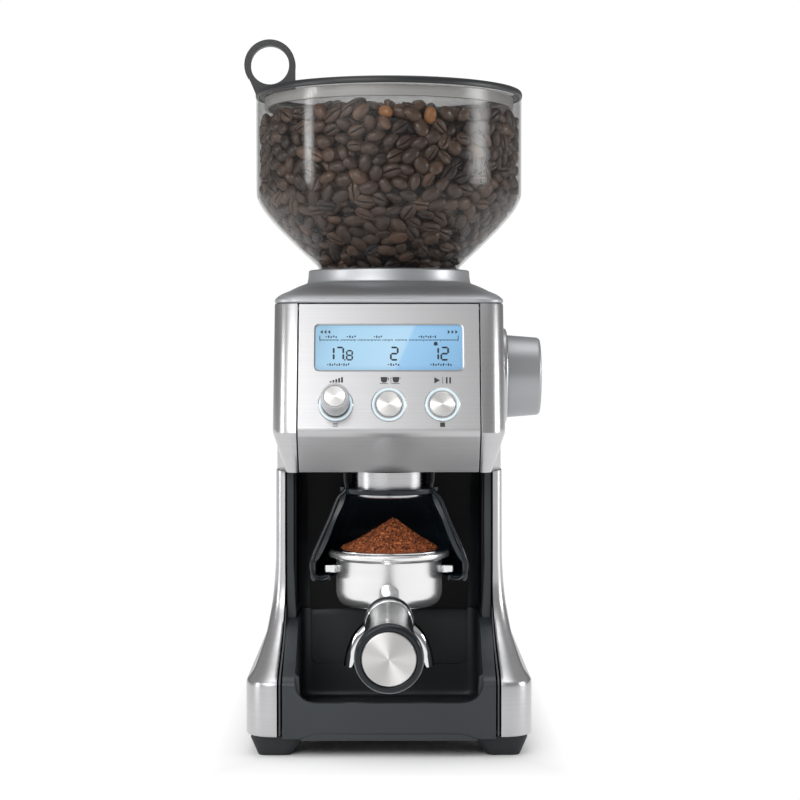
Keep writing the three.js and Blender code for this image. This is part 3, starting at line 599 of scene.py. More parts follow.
def monotone(xs, ys, at):
    """A smooth curve through points that never overshoots them."""
    xs, ys, at = (np.asarray(v, float) for v in (xs, ys, at))
    h, d = np.diff(xs), np.diff(ys) / np.diff(xs)
    m = np.zeros(len(xs))
    for i in range(1, len(xs) - 1):
        if d[i - 1] * d[i] > 0:
            w1, w2 = 2 * h[i] + h[i - 1], h[i] + 2 * h[i - 1]
            m[i] = (w1 + w2) / (w1 / d[i - 1] + w2 / d[i])
    m[0], m[-1] = d[0], d[-1]
    k = np.clip(np.searchsorted(xs, at) - 1, 0, len(h) - 1)
    t = (at - xs[k]) / h[k]
    return (
        (2 * t**3 - 3 * t**2 + 1) * ys[k]
        + (t**3 - 2 * t**2 + t) * h[k] * m[k]
        + (-2 * t**3 + 3 * t**2) * ys[k + 1]
        + (t**3 - t**2) * h[k] * m[k + 1]
    )


def arc(x, y, r, a0, a1, steps):
    return [
        (x + r * math.cos(math.radians(a)), y + r * math.sin(math.radians(a)))
        for a in np.linspace(a0, a1, steps + 1)
    ]


def shown(obj, body, slot, *nodes):
    """Rides the piece on its body, and lets it stand for the CAD nodes named."""
    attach(obj, body)
    if nodes:
        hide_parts(*nodes)
    return obj


def fascia_matrix(x=0.0, up=0.0):
    """A place on the fascia in metres: X across, Y up the slope from the bend, Z out of the face."""
    s, c = math.sin(SLOPE), math.cos(SLOPE)
    turn = Matrix(((1, 0, 0, 0), (0, s, -c, BEND.y * MM), (0, c, s, BEND.z * MM), (0, 0, 0, 1)))
    return turn @ Matrix.Translation((x * MM, up * MM, 0))


# ---------------------------------------------------------------- body skins
# height, half width, half width at the front corner, front y, inner edge x, front wall, lift of the inside
LEVELS = [
    (10.4, 74.6, 74.6, -44.6, 58.2, 2, 0),
    (11.4, 75, 75, -45, 58.2, 2, 0),
    (36, 75, 75, -45, 58.2, 2, 0),
    (38.2, 74.8, 74.8, -44.6, 58.2, 2.2, 0),
    (40, 73.6, 73.6, -42.6, 58.2, 3, 0),
    (42.4, 71.8, 71.8, -38.6, 58.1, 4.4, 0),
    (48, 69.5, 69.5, -28, 57.8, 4, 0),
    (53, 67.9, 67.9, -19, 57.5, 4, 0),
    (58.5, 66.2, 66.2, -11, 57.1, 3.6, 0),
    (66, 64.9, 64.9, -2.5, 56.8, 3, 0),
    (75, 63.5, 63.5, 3, 56.4, 2.4, 0),
    (86, 62.4, 62.4, 5, 56.2, 2, 0),
    (100, 61.6, 61.6, 5, 56.2, 2, 0),
    (145.8, 61.4, 61.4, 5, 56.2, 2, 1.5),
]
HEAD = [
    (146.0, 61.4, 54.5, -16.6, 48.3, 2.8, 1.5),
    (146.6, 61.4, 54.8, -17.4, 48.3, 2.8, 1.0),
    (157, 61.4, 58, -26, 48.3, 2.8, 0.4),
    (166.2, 61.4, 60.9, -33.5, 48.3, 2.6, 0),
    (168, 61.4, 61.3, -34.7, 48.3, 2.4, 0),
    (170, 61.4, 61.4, -34.4, 48.3, 2.2, 0),
    (235.4, 61.4, 61.4, -14.2, 48.3, 2.1, 0),
    (HEAD_TOP, 61.1, 61.1, -13.8, 48.3, 2.1, 0),
]


def skin_ring(z, half, front_half, front, inner, wall, lift):
    r = min(15, front_half - inner - 0.3)
    ri = max(r - 2, 1)
    turn = max(front + r + 22, 20)
    rear = 20
    outer = [(inner, front + 0.5), (inner + 0.15, front + 0.1), *arc(front_half - r, front + r, r, -90, 0, 12)]
    outer += [(half, turn), *arc(half - rear, BACK - rear, rear, 0, 90, 12), (40, BACK)]
    back = [
        (inner, front + wall), (inner + 0.2, front + wall),
        *arc(front_half - 2 - ri, front + wall + ri, ri, -90, 0, 12),
    ]
    back += [(half - 2, turn + wall), *arc(half - rear, BACK - rear, rear - 2, 0, 90, 12), (40, BACK - 2)]
    return [(x, y, z) for x, y in outer] + [(x, y, z + lift) for x, y in back[::-1]]


def skin(side):
    table = np.array(LEVELS)
    zs = np.concatenate([[10.4, 10.8, 11.4], np.linspace(36, 48, 19), np.linspace(49.5, 100, 30), [120, 145.8]])
    columns = [monotone(table[:, 0], table[:, k], zs) for k in range(1, 6)]
    lifts = np.interp(zs, table[:, 0], table[:, 6])
    rows = [list(row) for row in zip(zs, *columns, lifts)] + [list(row) for row in HEAD]
    rings = [skin_ring(*row) for row in rows]
    if side == "left":
        rings = [[(-x, y, z) for x, y, z in ring] for ring in rings]
    obj = loft(f"skin_{side}", rings, "steel", sharp=28)
    if side == "right":
        hole = lathe("hole", [(0, 50), (5, 50), (5, 75), (0, 75)], "steel", 40, dial_matrix())
        cut(obj, hole)
    shown(obj, "housing", "brushed_steel", f"side_skin_{side}")


def dial_matrix():
    """The dial's own axis as local Z, pointing out of the right side."""
    return Matrix.Translation((0, DIAL.y * MM, DIAL.z * MM)) @ Matrix.Rotation(math.pi / 2, 4, "Y")


KEY_PLACES = (-28, 0, 28)
KEY_UP = 15.5


def fascia():
    top = (BEND.y + LEAN_BACK * 0.9956, BEND.z + LEAN_UP * 0.9956)
    front = rounded([(-16.9, 146.3), (-35, 168, 3.2), top], steps=9)
    back = rounded([(top[0] + 2.6, top[1]), (-32.2, 168.6, 2.0), (-13.8, 146.3)], steps=9)
    obj = prism("fascia", front + back, -47.75, 47.75, "steel", "YZ")
    window = prism("hole", rect(-39.4, 39.4, 33.7, 59.6, 3), -6, 6, "steel", matrix=fascia_matrix())
    hole = [(0, -8), (9.25, -8), (9.25, 8), (0, 8)]
    holes = [lathe("hole", hole, "steel", 64, fascia_matrix(x, KEY_UP)) for x in KEY_PLACES]
    cut(obj, window, *holes)
    bevelled(obj, 0.35, 3, 50, 28)
    shown(obj, "housing", "brushed_steel", "fascia_panel")


def outline_top(inset):
    x, front, rear = HALF - inset, -14 + inset, BACK - inset
    rf, rr = 12.8, 20 - inset
    line = lambda a, b, n: [tuple(np.array(a) + (np.array(b) - a) * (i + 1) / (n + 1)) for i in range(n)]
    right = [(0, front), *line((0, front), (x - rf, front), 9), *arc(x - rf, front + rf, rf, -90, 0, 12)]
    right += [*line((x, front + rf), (x, rear - rr), 30), *arc(x - rr, rear - rr, rr, 0, 90, 10)]
    right += [*line((x - rr, rear), (0, rear), 6), (0, rear)]
    return right + [(-a, b) for a, b in right[1:-1][::-1]]


def top_ring(blend, radius, z, inset=0.0):
    ring = []
    for x, y in outline_top(inset):
        a = math.atan2(y - BURR_Y, x)
        cx, cy = radius * math.cos(a), BURR_Y + radius * math.sin(a)
        ring.append((x + (cx - x) * blend, y + (cy - y) * blend, z))
    return ring


def top_cover():
    rise = [(0, 236.4, 0.3), (0, 236.8, 0), (0, 238.0, 0), (0.006, 238.6, 0.2), (0.03, 239.3, 0.3)]
    blends = np.linspace(0.07, 1.0, 16)
    heights = monotone([0.03, 0.12, 0.35, 0.65, 0.9, 1.0], [239.3, 241.0, 243.7, 246.0, 247.5, 248.0], blends)
    rings = [top_ring(b, 48, z, i) for b, z, i in rise]
    rings += [top_ring(b, 48, z) for b, z in zip(blends, heights)]
    collar = rounded(
        [(48, 248), (46.3, 248.6, 1), (45.7, 252), (45.5, 255.9, 1.2), (40.6, 255.9, 0.5), (40.6, 240)], steps=6,
    )
    rings += [top_ring(1, r, z) for r, z in collar[1:]]
    rings += [top_ring(1, 43.5, 240), top_ring(1, 44, 244.2), top_ring(0.6, 45, 242.6)]
    rings += [top_ring(0.32, 45, 240.6, 1), top_ring(0.1, 45, 238.4, 1.8), top_ring(0, 45, 236.4, 2.4)]
    obj = loft("top_cover_cast", rings, "satin", closed=True, sharp=35)
    shown(obj, "housing", "silver_plastic", "top_cover")


def rear():
    plate = prism("rear_plate", rect(-39.7, 39.7, 10.4, 235.9, 0.5), BACK - 2, BACK, "steel", "XZ")
    slots = [
        prism("hole", rect(-24, 24, 150 + 9 * i, 153 + 9 * i, 1.4), BACK - 6, BACK + 6, "steel", "XZ")
        for i in range(7)
    ]
    turn = Matrix.Translation((0, BACK * MM, 0.032)) @ Matrix.Rotation(-math.pi / 2, 4, "X")
    port = lathe("hole", [(0, -9), (8.8, -9), (8.8, 9), (0, 9)], "steel", 48, turn)
    cut(plate, port, *slots)
    bevelled(plate, 0.3, 2, 50)
    shown(plate, "housing", "brushed_steel", "rear_cover")
    profile = [(0, -9.8), (8.3, -9.8, 0.5), (8.3, -0.6, 1), (6.6, -0.2, 0.5), (5.2, -0.6, 0.5), (5.2, -5), (0, -5)]
    shown(lathe("gland", profile, "rubber", 48, turn), "housing", "rubber", "cord_gland")


# ---------------------------------------------------------------- fascia fittings
def controls():
    ring = [(7.7, -2), (8.8, -2), (8.8, 0.3, 0.2), (8.3, 0.5, 0.3), (7.9, 0.4, 0.2), (7.7, 0.1)]
    rim = [(8.8, -2), (9.2, -2), (9.2, 0.2, 0.1), (9.0, 0.5, 0.15), (8.82, 0.3)]
    seat = [(6.95, -2), (7.66, -2), (7.66, 0.2, 0.15), (6.95, 0.05, 0.1)]
    key = [(0, -2.6), (6.7, -2.6), (6.7, 1.2, 0.7), (6.0, 1.75, 0.4), (0, 1.35)]
    knob = [
        (0, -2.6), (6.4, -2.6), (6.4, 2.0), (7.0, 2.3, 0.4), (7.45, 9), (7.6, 14.2, 1.0), (6.6, 16.4, 0.8),
        (5.9, 16.5, 0.2), (5.7, 15.9, 0.2), (0, 15.9),
    ]
    spots = [fascia_matrix(x, KEY_UP) for x in KEY_PLACES]
    for place, name in zip(spots, ("amount", "shots", "start")):
        halo = lathe(f"glow_{name}", ring, "ring", 72, place, closed=True)
        shown(halo, "housing", "backlight", f"light_ring_{name}")
        shown(lathe(f"trim_{name}", rim, "chrome", 72, place, closed=True), "housing", "chrome")
        shown(lathe(f"seat_{name}", seat, "knob", 72, place, closed=True), "housing", "silver_plastic")
    grip = lathe("amount_knob_grip", knob, "knob", 96, spots[0])
    shown(grip, "amount_knob", "silver_plastic", "grind_amount_knob")
    face = [(0, 15.95), (5.5, 15.95), (5.5, 16.25, 0.15), (0, 16.25)]
    shown(lathe("amount_knob_face", face, "spun", 96, spots[0]), "amount_knob", "brushed_steel")
    for place, name in zip(spots[1:], ("shots", "start")):
        cap = lathe(f"{name}_key_cap", key, "spun", 96, place)
        shown(cap, f"{name}_key", "brushed_steel", f"{name}_button")


DIGITS = {"1": "bc", "2": "abged", "7": "abc", "8": "abcdefg"}


def segment(kind, w, h, t):
    """One bar of a seven-bar digit, as an outline: w and h size the digit, t the bar."""
    upright = kind in "bcef"
    length = h / 2 if upright else w
    g = 0.12 * t
    x = w if kind in "bc" else 0
    y = {"a": h, "b": h / 2, "f": h / 2, "g": h / 2}.get(kind, 0)
    near, far, half = g + t / 2, length - g - t / 2, t / 2
    outline = [(g, 0), (near, half), (far, half), (length - g, 0), (far, -half), (near, -half)]
    return [(x + b, y + a) if upright else (x + a, y + b) for a, b in outline]


def marks(name, outlines, low, high, look):
    """Many small flat outlines on the fascia as one thin mesh."""
    verts, faces = [], []
    for outline in outlines:
        faces += walls(len(outline), len(verts))
        verts += [(a, b, c) for c in (low, high) for a, b in outline]
    return made(name, verts, faces, look, [v[:2] for v in verts], 30, fascia_matrix())


def digits(text, x, y, w, h, t):
    out = []
    for char in text:
        for kind in DIGITS[char]:
            out.append([(x + a, y + b) for a, b in segment(kind, w, h, t)])
        x += w * 1.45
    return out


def bar(x0, x1, y0, y1):
    return [(x0, y0), (x1, y0), (x1, y1), (x0, y1)]


def dashes(x0, x1, y, tall):
    """A row of plain upright strokes that fills a caption's place without spelling anything."""
    count = max(3, round((x1 - x0) / 1.25))
    step = (x1 - x0) / count
    rows = []
    for i in range(count):
        low = y + (0.0 if i % 3 else tall * 0.3)
        high = y + (tall if i % 2 else tall * 0.7)
        rows.append(bar(x0 + i * step, x0 + i * step + step * 0.55, low, high))
    return rows


def display():
    place = fascia_matrix()
    panel = prism("display_panel", rect(-39.2, 39.2, 33.9, 59.4, 2.8), -1.7, -0.5, "display", matrix=place)
    shown(panel, "housing", "display", "lcd_window")
    outer, inner = rect(-39.6, 39.6, 33.5, 59.8, 3.1, 8), rect(-38.9, 38.9, 34.2, 59.1, 2.6, 8)
    rings = [[(x, y, z) for x, y in line] for line, z in ((outer, -0.6), (outer, 0.2), (inner, 0.05), (inner, -0.6))]
    bezel = loft("display_bezel", rings, "frame", closed=True)
    bezel.matrix_world = place
    shown(bezel, "housing", "chrome")
    lines = digits("17", -32.7, 40.0, 3.5, 6.8, 1.0) + digits("8", -22.3, 40.0, 2.9, 5.0, 0.85)
    lines.append(bar(-23.6, -22.9, 39.6, 40.4))
    lines += digits("2", 1.0, 40.0, 3.6, 6.8, 1.0) + digits("12", 22.4, 40.0, 3.6, 6.8, 1.0)
    for x0, x1 in ((-36.7, -26.4), (-25.4, -17.2), (-16.4, -4.2), (-3.2, 2.0), (3.2, 9.6), (10.6, 36.7)):
        lines.append(bar(x0, x1, 50.8, 51.15))
    for i in range(41):
        x = -36.4 + 72.8 * i / 40
        tall = 0.7 if i % 5 else 1.2
        lines.append(bar(x - 0.15, x + 0.15, 50.9 - tall * 0.6, 51.0))
    lines += [bar(-36.8, -36.4, 50.8, 53.4), bar(36.4, 36.8, 50.8, 53.4)]
    for x0, x1 in ((-33.6, -27), (-22.4, -17), (-8, -3.2), (15.6, 25.4)):
        lines += dashes(x0, x1, 52.1, 1.3)
    lines.append([(23.7, 47.9), (25.7, 47.9), (25.7, 49.2), (25.2, 50.0), (24.2, 50.0), (23.7, 49.2)])
    for x, way in ((-36.4, -1), (36.4, 1)):
        for k in range(3):
            a = x - way * k * 2.0
            lines.append([(a, 55.4), (a - way * 1.3, 56.5), (a - way * 1.3, 54.3)])
    for x0, x1 in ((-32.6, -20.4), (-0.6, 6.0), (21.8, 33.6)):
        lines += dashes(x0, x1, 36.7, 1.4)
    ink = marks("display_marks", lines, -0.48, -0.42, "ink")
    shown(ink, "housing", "black_plastic")


def legends():
    """Plain symbols by the keys: a filling measure, a cup, run and pause."""
    rows = []
    for k in range(5):
        rows.append(bar(-31.2 + k * 1.5, -30.2 + k * 1.5, 27.4, 28.2 + 0.55 * k))
    cup = [(-4.4, 30.4), (-4.2, 28.2), (-3.4, 27.4), (-1.8, 27.4), (-1.0, 28.2), (-0.8, 30.4)]
    rows += [cup, bar(-0.7, -0.1, 29.6, 30.0), bar(-0.4, 0.0, 28.6, 29.8), bar(-4.8, -0.6, 26.7, 27.0)]
    rows.append(bar(0.9, 1.15, 26.7, 30.5))
    rows += [[(a + 6.2, b) for a, b in cup], bar(5.5, 6.1, 29.6, 30.0), bar(1.5, 5.6, 26.7, 27.0)]
    rows.append([(23.8, 26.9), (26.8, 28.6), (23.8, 30.3)])
    rows.append(bar(28.1, 28.35, 26.7, 30.5))
    rows += [bar(29.9, 30.8, 26.9, 30.3), bar(31.7, 32.6, 26.9, 30.3)]
    rows += [bar(-29.4, -26.6, 3.5, 3.8), bar(-29.4, -26.6, 4.3, 4.6), bar(-29.4, -26.6, 5.1, 5.4)]
    rows.append([(26.7, 3.3), (29.3, 3.3), (29.3, 5.7), (26.7, 5.7)])
    obj = marks("fascia_legends", rows, -0.2, 0.1, "print")
    shown(obj, "housing", "black_plastic")


def dial():
    place = dial_matrix()
    bezel = [
        (4.8, 61.7), (28.3, 61.7, 0.2), (28.3, 63.4, 0.6), (27.4, 64.0, 0.3), (27.0, 65.9, 0.6), (26.0, 66.5, 0.4),
        (24.6, 66.5, 0.4), (24.2, 63.6, 0.2), (4.8, 63.6),
    ]
    shown(lathe("dial_ring", bezel, "steel_up", 120, place, closed=True), "housing", "brushed_steel", "dial_bezel")
    grip = [(0, 64), (23.3, 64), (23.3, 67.5, 0.5), (21.95, 84.0, 0.6), (21.2, 85.3, 1.0), (17, 85.7, 1), (0, 86)]
    shown(lathe("dial_grip", grip, "satin", 120, place), "dial", "silver_plastic", "grind_size_dial")
    notch = prism(
        "dial_mark", rect(-0.5, 0.5, -0.2, 0.25, 0.2), 69, 83, "print",
        matrix=place @ Matrix.Translation((-0.0229, 0, 0)) @ Matrix.Rotation(math.radians(4.6), 4, "Y"),
    )
    shown(notch, "dial", "black_plastic")


# ---------------------------------------------------------------- hopper, beans and lid
def hopper():
    funnel = [
        (0, 242), (39.8, 242, 0.4), (39.8, 257.4, 1.5), (44, 261.6, 3), (50.2, 267.3, 4), (61.6, 278.7, 5),
        (66.8, 284.4, 4),
        (71.3, 290.1, 3), (74.1, 295.6, 2), (74.5, 297.0, 0.2), (73.7, 297.0, 0.2), (73.3, 295.9, 2),
        (70.5, 290.5, 3),
        (66.1, 285.0, 4), (60.9, 279.4, 5), (49.5, 268, 4), (43.3, 262.3, 3), (39.1, 258, 1.5), (39.1, 244.4),
        (0, 244.4),
    ]
    shown(
        lathe("hopper_funnel_clear", funnel, "smoke", 160, AT_BURR, sharp=40), "hopper_unit", "smoky_plastic",
        "hopper",
    )
    wall = [
        (73.8, 297.15), (74.7, 297.15, 0.2), (74.9, 300, 1), (74.9, 351.6, 0.4), (74.4, 352.2, 0.2),
        (74.0, 352.2, 0.2), (74.0, 300.4, 1),
    ]
    upper = lathe("hopper_wall_clear", wall, "smoke", 160, AT_BURR, closed=True, sharp=40)
    shown(upper, "hopper_unit", "smoky_plastic", "hopper_wall")


def bean_shape(angles, rows):
    """One bean: an oval with a flatter side and a crease down it, and each point's painted shade, darkest down the
    crease.
    """
    verts, dark, faces = [(-1, 0, 0)], [0.0], []
    for i in range(1, rows):
        x = -math.cos(math.pi * i / rows)
        girth = math.sqrt(1 - x * x)
        for degrees in angles:
            a = math.radians(degrees)
            y, z = math.cos(a), math.sin(a)
            if z > 0:
                z *= 0.66
            deep = {0: 0.3, 5: 0.17}.get(abs(degrees - 90), 0)
            bend = 0.09 * math.sin(2.4 * x) if abs(degrees - 90) < 25 else 0
            verts.append((x, (y + bend) * girth, (z - deep) * girth))
            # painted shade: points down the crease are darkened in step with its depth
            dark.append(deep / 0.3)
    verts.append((1, 0, 0))
    dark.append(0.0)
    count, last = len(angles), 1 + (rows - 2) * len(angles)
    for j in range(count):
        k = (j + 1) % count
        faces += [(0, 1 + j, 1 + k), (last + k, last + j, len(verts) - 1)]
        for i in range(rows - 2):
            a = 1 + i * count
            faces.append((a + j, a + count + j, a + count + k, a + k))
    return np.array(verts), np.array(dark), faces


def hopper_radius(z):
    """Inside radius of the hopper at a height."""
    return np.interp(
        z, [244, 257.6, 262, 267.7, 279.1, 284.7, 290.3, 295.7, 300, 353],
        [38.8, 38.8, 42.9, 49.1, 60.5, 65.7, 70.1, 72.9, 73.7, 73.7],
    )


PUSHES = 45  # rounds in which beans that crowd each other move apart


def scatter_wall(depth, pitch, z_low, z_high):
    """Places spread evenly over the hopper's inside, each a radius, angle, height and the wall's tilt there."""
    heights = np.linspace(z_low, z_high, 200)
    radii = hopper_radius(heights) - depth
    run = np.concatenate([[0], np.cumsum(np.hypot(np.diff(heights), np.diff(radii)))])
    area = float(np.sum(np.diff(run) * math.tau * (radii[1:] + radii[:-1]) / 2))
    count = int(area / (pitch * pitch * 0.9))
    weight = np.cumsum(radii)
    s = np.interp(nrng.random(count) * weight[-1], weight, run)
    a = nrng.random(count) * math.tau
    for _ in range(PUSHES):
        r = np.interp(s, run, radii)
        da = (a[:, None] - a[None, :] + math.pi) % math.tau - math.pi
        du = da * (r[:, None] + r[None, :]) / 2
        ds = s[:, None] - s[None, :]
        gap = np.hypot(du, ds) + 1e-6
        push = np.clip(pitch - gap, 0, None) * 0.32 / gap
        np.fill_diagonal(push, 0)
        a = a + (push * du).sum(1) / r
        s = np.clip(s + (push * ds).sum(1), 0, run[-1])
    z = np.interp(s, run, heights)
    r = np.interp(s, run, radii)
    tilt = np.arctan((hopper_radius(z + 1) - hopper_radius(z - 1)) / 2)
    return list(zip(r - nrng.random(count) * 1.4, a, z, tilt))


def beans():
    fine = [90, 85, 79, 66, 45, 18, -12, -50, -90, -130, -168, 162, 135, 114, 101, 95]
    shapes = (bean_shape(fine, 8), bean_shape([90, 40, -10, -50, -90, -130, 190, 140], 6))
    all_verts, all_faces, tint_and_shade = [], [], []
    total = 0

    def add(shape, place, normal, lean):
        """One bean at a place, its broad side towards the normal, turned at random."""
        nonlocal total
        points, dark, faces = shape
        base = Vector(normal).normalized().to_track_quat("Z", "Y").to_matrix()
        spin = Matrix.Rotation(rng.gauss(0, 0.8) + (math.pi if rng.random() < 0.5 else 0), 3, "Z")
        flip = Matrix.Rotation(math.pi if rng.random() < 0.62 else 0, 3, "X")
        tip = Matrix.Rotation(rng.gauss(0, lean), 3, "X") @ Matrix.Rotation(rng.gauss(0, lean), 3, "Y")
        size = rng.uniform(0.86, 1.1)
        dims = np.array((5.4 * size * rng.uniform(0.92, 1.06), 3.85 * size * rng.uniform(0.92, 1.06), 3.0 * size))
        pts = (points * dims) @ np.array(base @ tip @ spin @ flip).T + np.array(place)
        all_verts.append(pts)
        all_faces.extend([tuple(total + i for i in f) for f in faces])
        total += len(pts)
        shade = 1.0 if rng.random() > 0.985 else min(0.86, max(0.2, rng.gauss(0.5, 0.16)))
        # the bean's own tone, darkened by painted shade down its crease
        tint_and_shade.append(shade * (1 - 0.85 * dark))

    for shape, depth, pitch, low, high in ((shapes[0], 2.9, 8.2, 248, 339), (shapes[1], 6.8, 8.6, 252, 338)):
        for r, a, z, tilt in scatter_wall(depth, pitch, low, high):
            normal = (math.cos(a) * math.cos(tilt), math.sin(a) * math.cos(tilt), -math.sin(tilt))
            add(shape, (r * math.cos(a), r * math.sin(a), z), normal, 0.3)
    ring = 0.0
    while ring < 67:
        count = max(1, int(math.tau * ring / 8.8))
        for i in range(count):
            a = math.tau * (i + rng.uniform(-0.25, 0.25)) / count
            r = min(ring + rng.uniform(-1.5, 1.5), 66.5)
            top = 340.2 + 1.4 * math.sin(a * 3 + 1) + rng.uniform(-1.6, 1.9)
            add(shapes[0], (r * math.cos(a), r * math.sin(a), top), (rng.gauss(0, 0.4), rng.gauss(0, 0.4), 1), 0.5)
        ring += 7.0
    mesh_verts = np.concatenate(all_verts)
    limit = hopper_radius(mesh_verts[:, 2]) - 0.25
    r = np.hypot(mesh_verts[:, 0], mesh_verts[:, 1])
    squeeze = np.minimum(1, limit / np.maximum(r, 1e-6))
    mesh_verts[:, 0] *= squeeze
    mesh_verts[:, 1] *= squeeze
    obj = made("beans", mesh_verts, all_faces, "bean", None, 75, AT_BURR)
    layer = obj.data.attributes.new("tint_and_shade", "FLOAT", "POINT")
    layer.data.foreach_set("value", np.concatenate(tint_and_shade).astype(np.float32))
    shown(obj, "hopper_unit", "coffee_beans", "bean_fill")
    # A near-black solid inside the layer of beans, painted shade for the beans deeper in: with no colour attribute it
    # takes the darkest bean tone.
    core = [
        (0, 278), (12.6, 278), (12.6, 247.4), (31, 247.6), (31, 257), (50, 276), (62, 292), (62, 333), (56, 336),
        (0, 337),
    ]
    fill = lathe("beans_below_painted_shade", core, "bean", 72, AT_BURR)
    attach(fill, "hopper_unit")


def lid():
    disc = [(0, 352.6), (72.6, 352.6, 0.4), (73.1, 353.2, 0.3), (73.1, 355.2, 0.3), (60, 355.2, 2), (0, 354.9)]
    shown(lathe("lid_clear", disc, "lid", 160, AT_BURR, sharp=40), "lid", "smoky_plastic", "lid_disc")
    skirt = [(68.0, 346.4, 0.5), (70.3, 346.4, 0.8), (70.3, 352.2), (68.0, 352.2)]
    # painted light: the skirt is a pale opaque copy of the smoky plastic
    shown(lathe("lid_plug", skirt, "smoke_painted_light", 160, AT_BURR, closed=True, sharp=40), "lid", "smoky_plastic", "lid_skirt")
    band = [
        (73.5, 352.7, 0.2), (75.2, 352.7, 0.5), (75.4, 354.6, 0.8), (74.7, 356.4, 0.9), (71.4, 356.5, 0.8),
        (70.6, 355.7, 0.3), (73.5, 355.6),
    ]
    rim = lathe("lid_band", band, "black", 160, AT_BURR, closed=True)
    cx, cz, r_out, r_in = -67.3, 371.8, 14.4, 10.9
    outer = [(cx + r_out * math.cos(a), cz + r_out * math.sin(a)) for a in np.radians(np.linspace(-8, 212, 64))]
    outer += rounded([(-79.6, 365.2), (-77.0, 359.6, 3), (-75.0, 354.6)], steps=5) + [(-53.0, 355.2)]
    ring = prism("lid_loop", outer, BURR_Y - 3, BURR_Y + 3, "black", "XZ")
    hole = prism(
        "hole", [(cx + r_in * math.cos(a), cz + r_in * math.sin(a)) for a in np.radians(np.arange(0, 360, 5))],
        BURR_Y - 9, BURR_Y + 9, "black", "XZ",
    )
    cut(ring, hole)
    bevelled(ring, 1.1, 4, 50)
    shown(joined("lid_band", [rim, ring]), "lid", "black_plastic", "lid_rim")


# ---------------------------------------------------------------- bay, tray, feet
def plunger_matrix():
    """The cradle switch's axis as local Z, pointing back."""
    return Matrix.Translation((0, 0, 0.0995)) @ Matrix.Rotation(-math.pi / 2, 4, "X")


def bay():
    def ring(z, inner_half):
        outer = [(55.6, 5.9), (55.6, 50.4), (-55.6, 50.4), (-55.6, 5.9)]
        r = 9
        inner = [(-inner_half, 5.9), (-inner_half, 7), *arc(-inner_half + r, 48 - r, r, 180, 90, 8)]
        inner += [*arc(inner_half - r, 48 - r, r, 90, 0, 8), (inner_half, 7), (inner_half, 5.9)]
        return [(x, y, z) for x, y in outer + inner]

    rings = [ring(z, h) for z, h in ((13.3, 51.5), (60, 51.3), (68, 50.4), (78, 50.9), (95, 51.4), (148.8, 51.5))]
    port = lambda: lathe("hole", [(0, 40), (3.9, 40), (3.9, 60), (0, 60)], "deep", 40, plunger_matrix())
    walls = bevelled(cut(loft("bay_walls", rings, "grey", sharp=30), port()), 0.8, 3, 50)
    roof = prism("bay_roof", [(-55.6, 5.6), (55.6, 5.6), (55.6, 48), (-55.6, 48)], 146.4, 148.7, "deep")
    brow = prism("bay_brow", [(-47.5, -13.1), (47.5, -13.1), (47.5, 6), (-47.5, 6)], 146.4, 148.7, "deep")
    hole = lambda: lathe("hole", [(0, 140), (17.7, 140), (17.7, 155), (0, 155)], "deep", 64, AT_OUTLET)
    cut(roof, hole())
    cut(brow, hole())
    back = prism("bay_back", rect(-50.6, 50.6, 64.2, 146.2, 1), 47.4, 47.9, "deep", "XZ")
    cut(back, port())
    sides = [
        prism(
            "bay_side", rect(9, 46.5, 68.5, 146.2, 0.5), min(s * 50.5, s * 51.3), max(s * 50.5, s * 51.3), "deep",
            "YZ",
        )
        for s in (-1, 1)
    ]
    # The lining is near black: the liner's own black plastic, darkened further by painted shade inside the bay.
    shown(joined("bay_lining", [back, roof, brow, *sides], "deep"), "housing", "grey_plastic")
    edges = []
    for s in (-1, 1):
        rings = []
        for z, y, inner, outer in (
            (10.8, -44.3, 56.5, 57.3), (38, -44, 56.5, 57.3), (40.5, -41.4, 56.5, 57.3), (43, -36.8, 56.4, 57.2),
            (48, -27.4, 56.2, 57.0), (53, -18.4, 55.9, 56.7), (58.5, -10.4, 55.8, 56.5), (66, -1.9, 55.75, 56.2),
            (72, 1.8, 55.75, 56.0),
        ):
            rings.append([(s * x, b, z) for x, b in ((inner, y + 9), (inner, y), (outer, y), (outer, y + 9))])
        # painted light: the front edges take a lighter copy of the grey plastic
        edges.append(loft("bay_edge", rings, "rim", sharp=40))
    shown(joined("bay_flange", edges), "housing", "grey_plastic")
    ramp = []
    for z, y in ((13.4, 45.4), (58, 45.6), (62.5, 45.8), (64.0, 46.6), (64.0, 47.9)):
        ramp.append([(x, y, z + 1.6 * (1 - (x / 50) ** 2) * (z > 50)) for x in np.linspace(-50.8, 50.8, 41)])
    floor_back = loft("bay_ramp", ramp, "grey", wrap=False, sharp=50)
    shown(joined("bay_frame_moulding", [walls, floor_back]), "housing", "grey_plastic", "bay_frame")


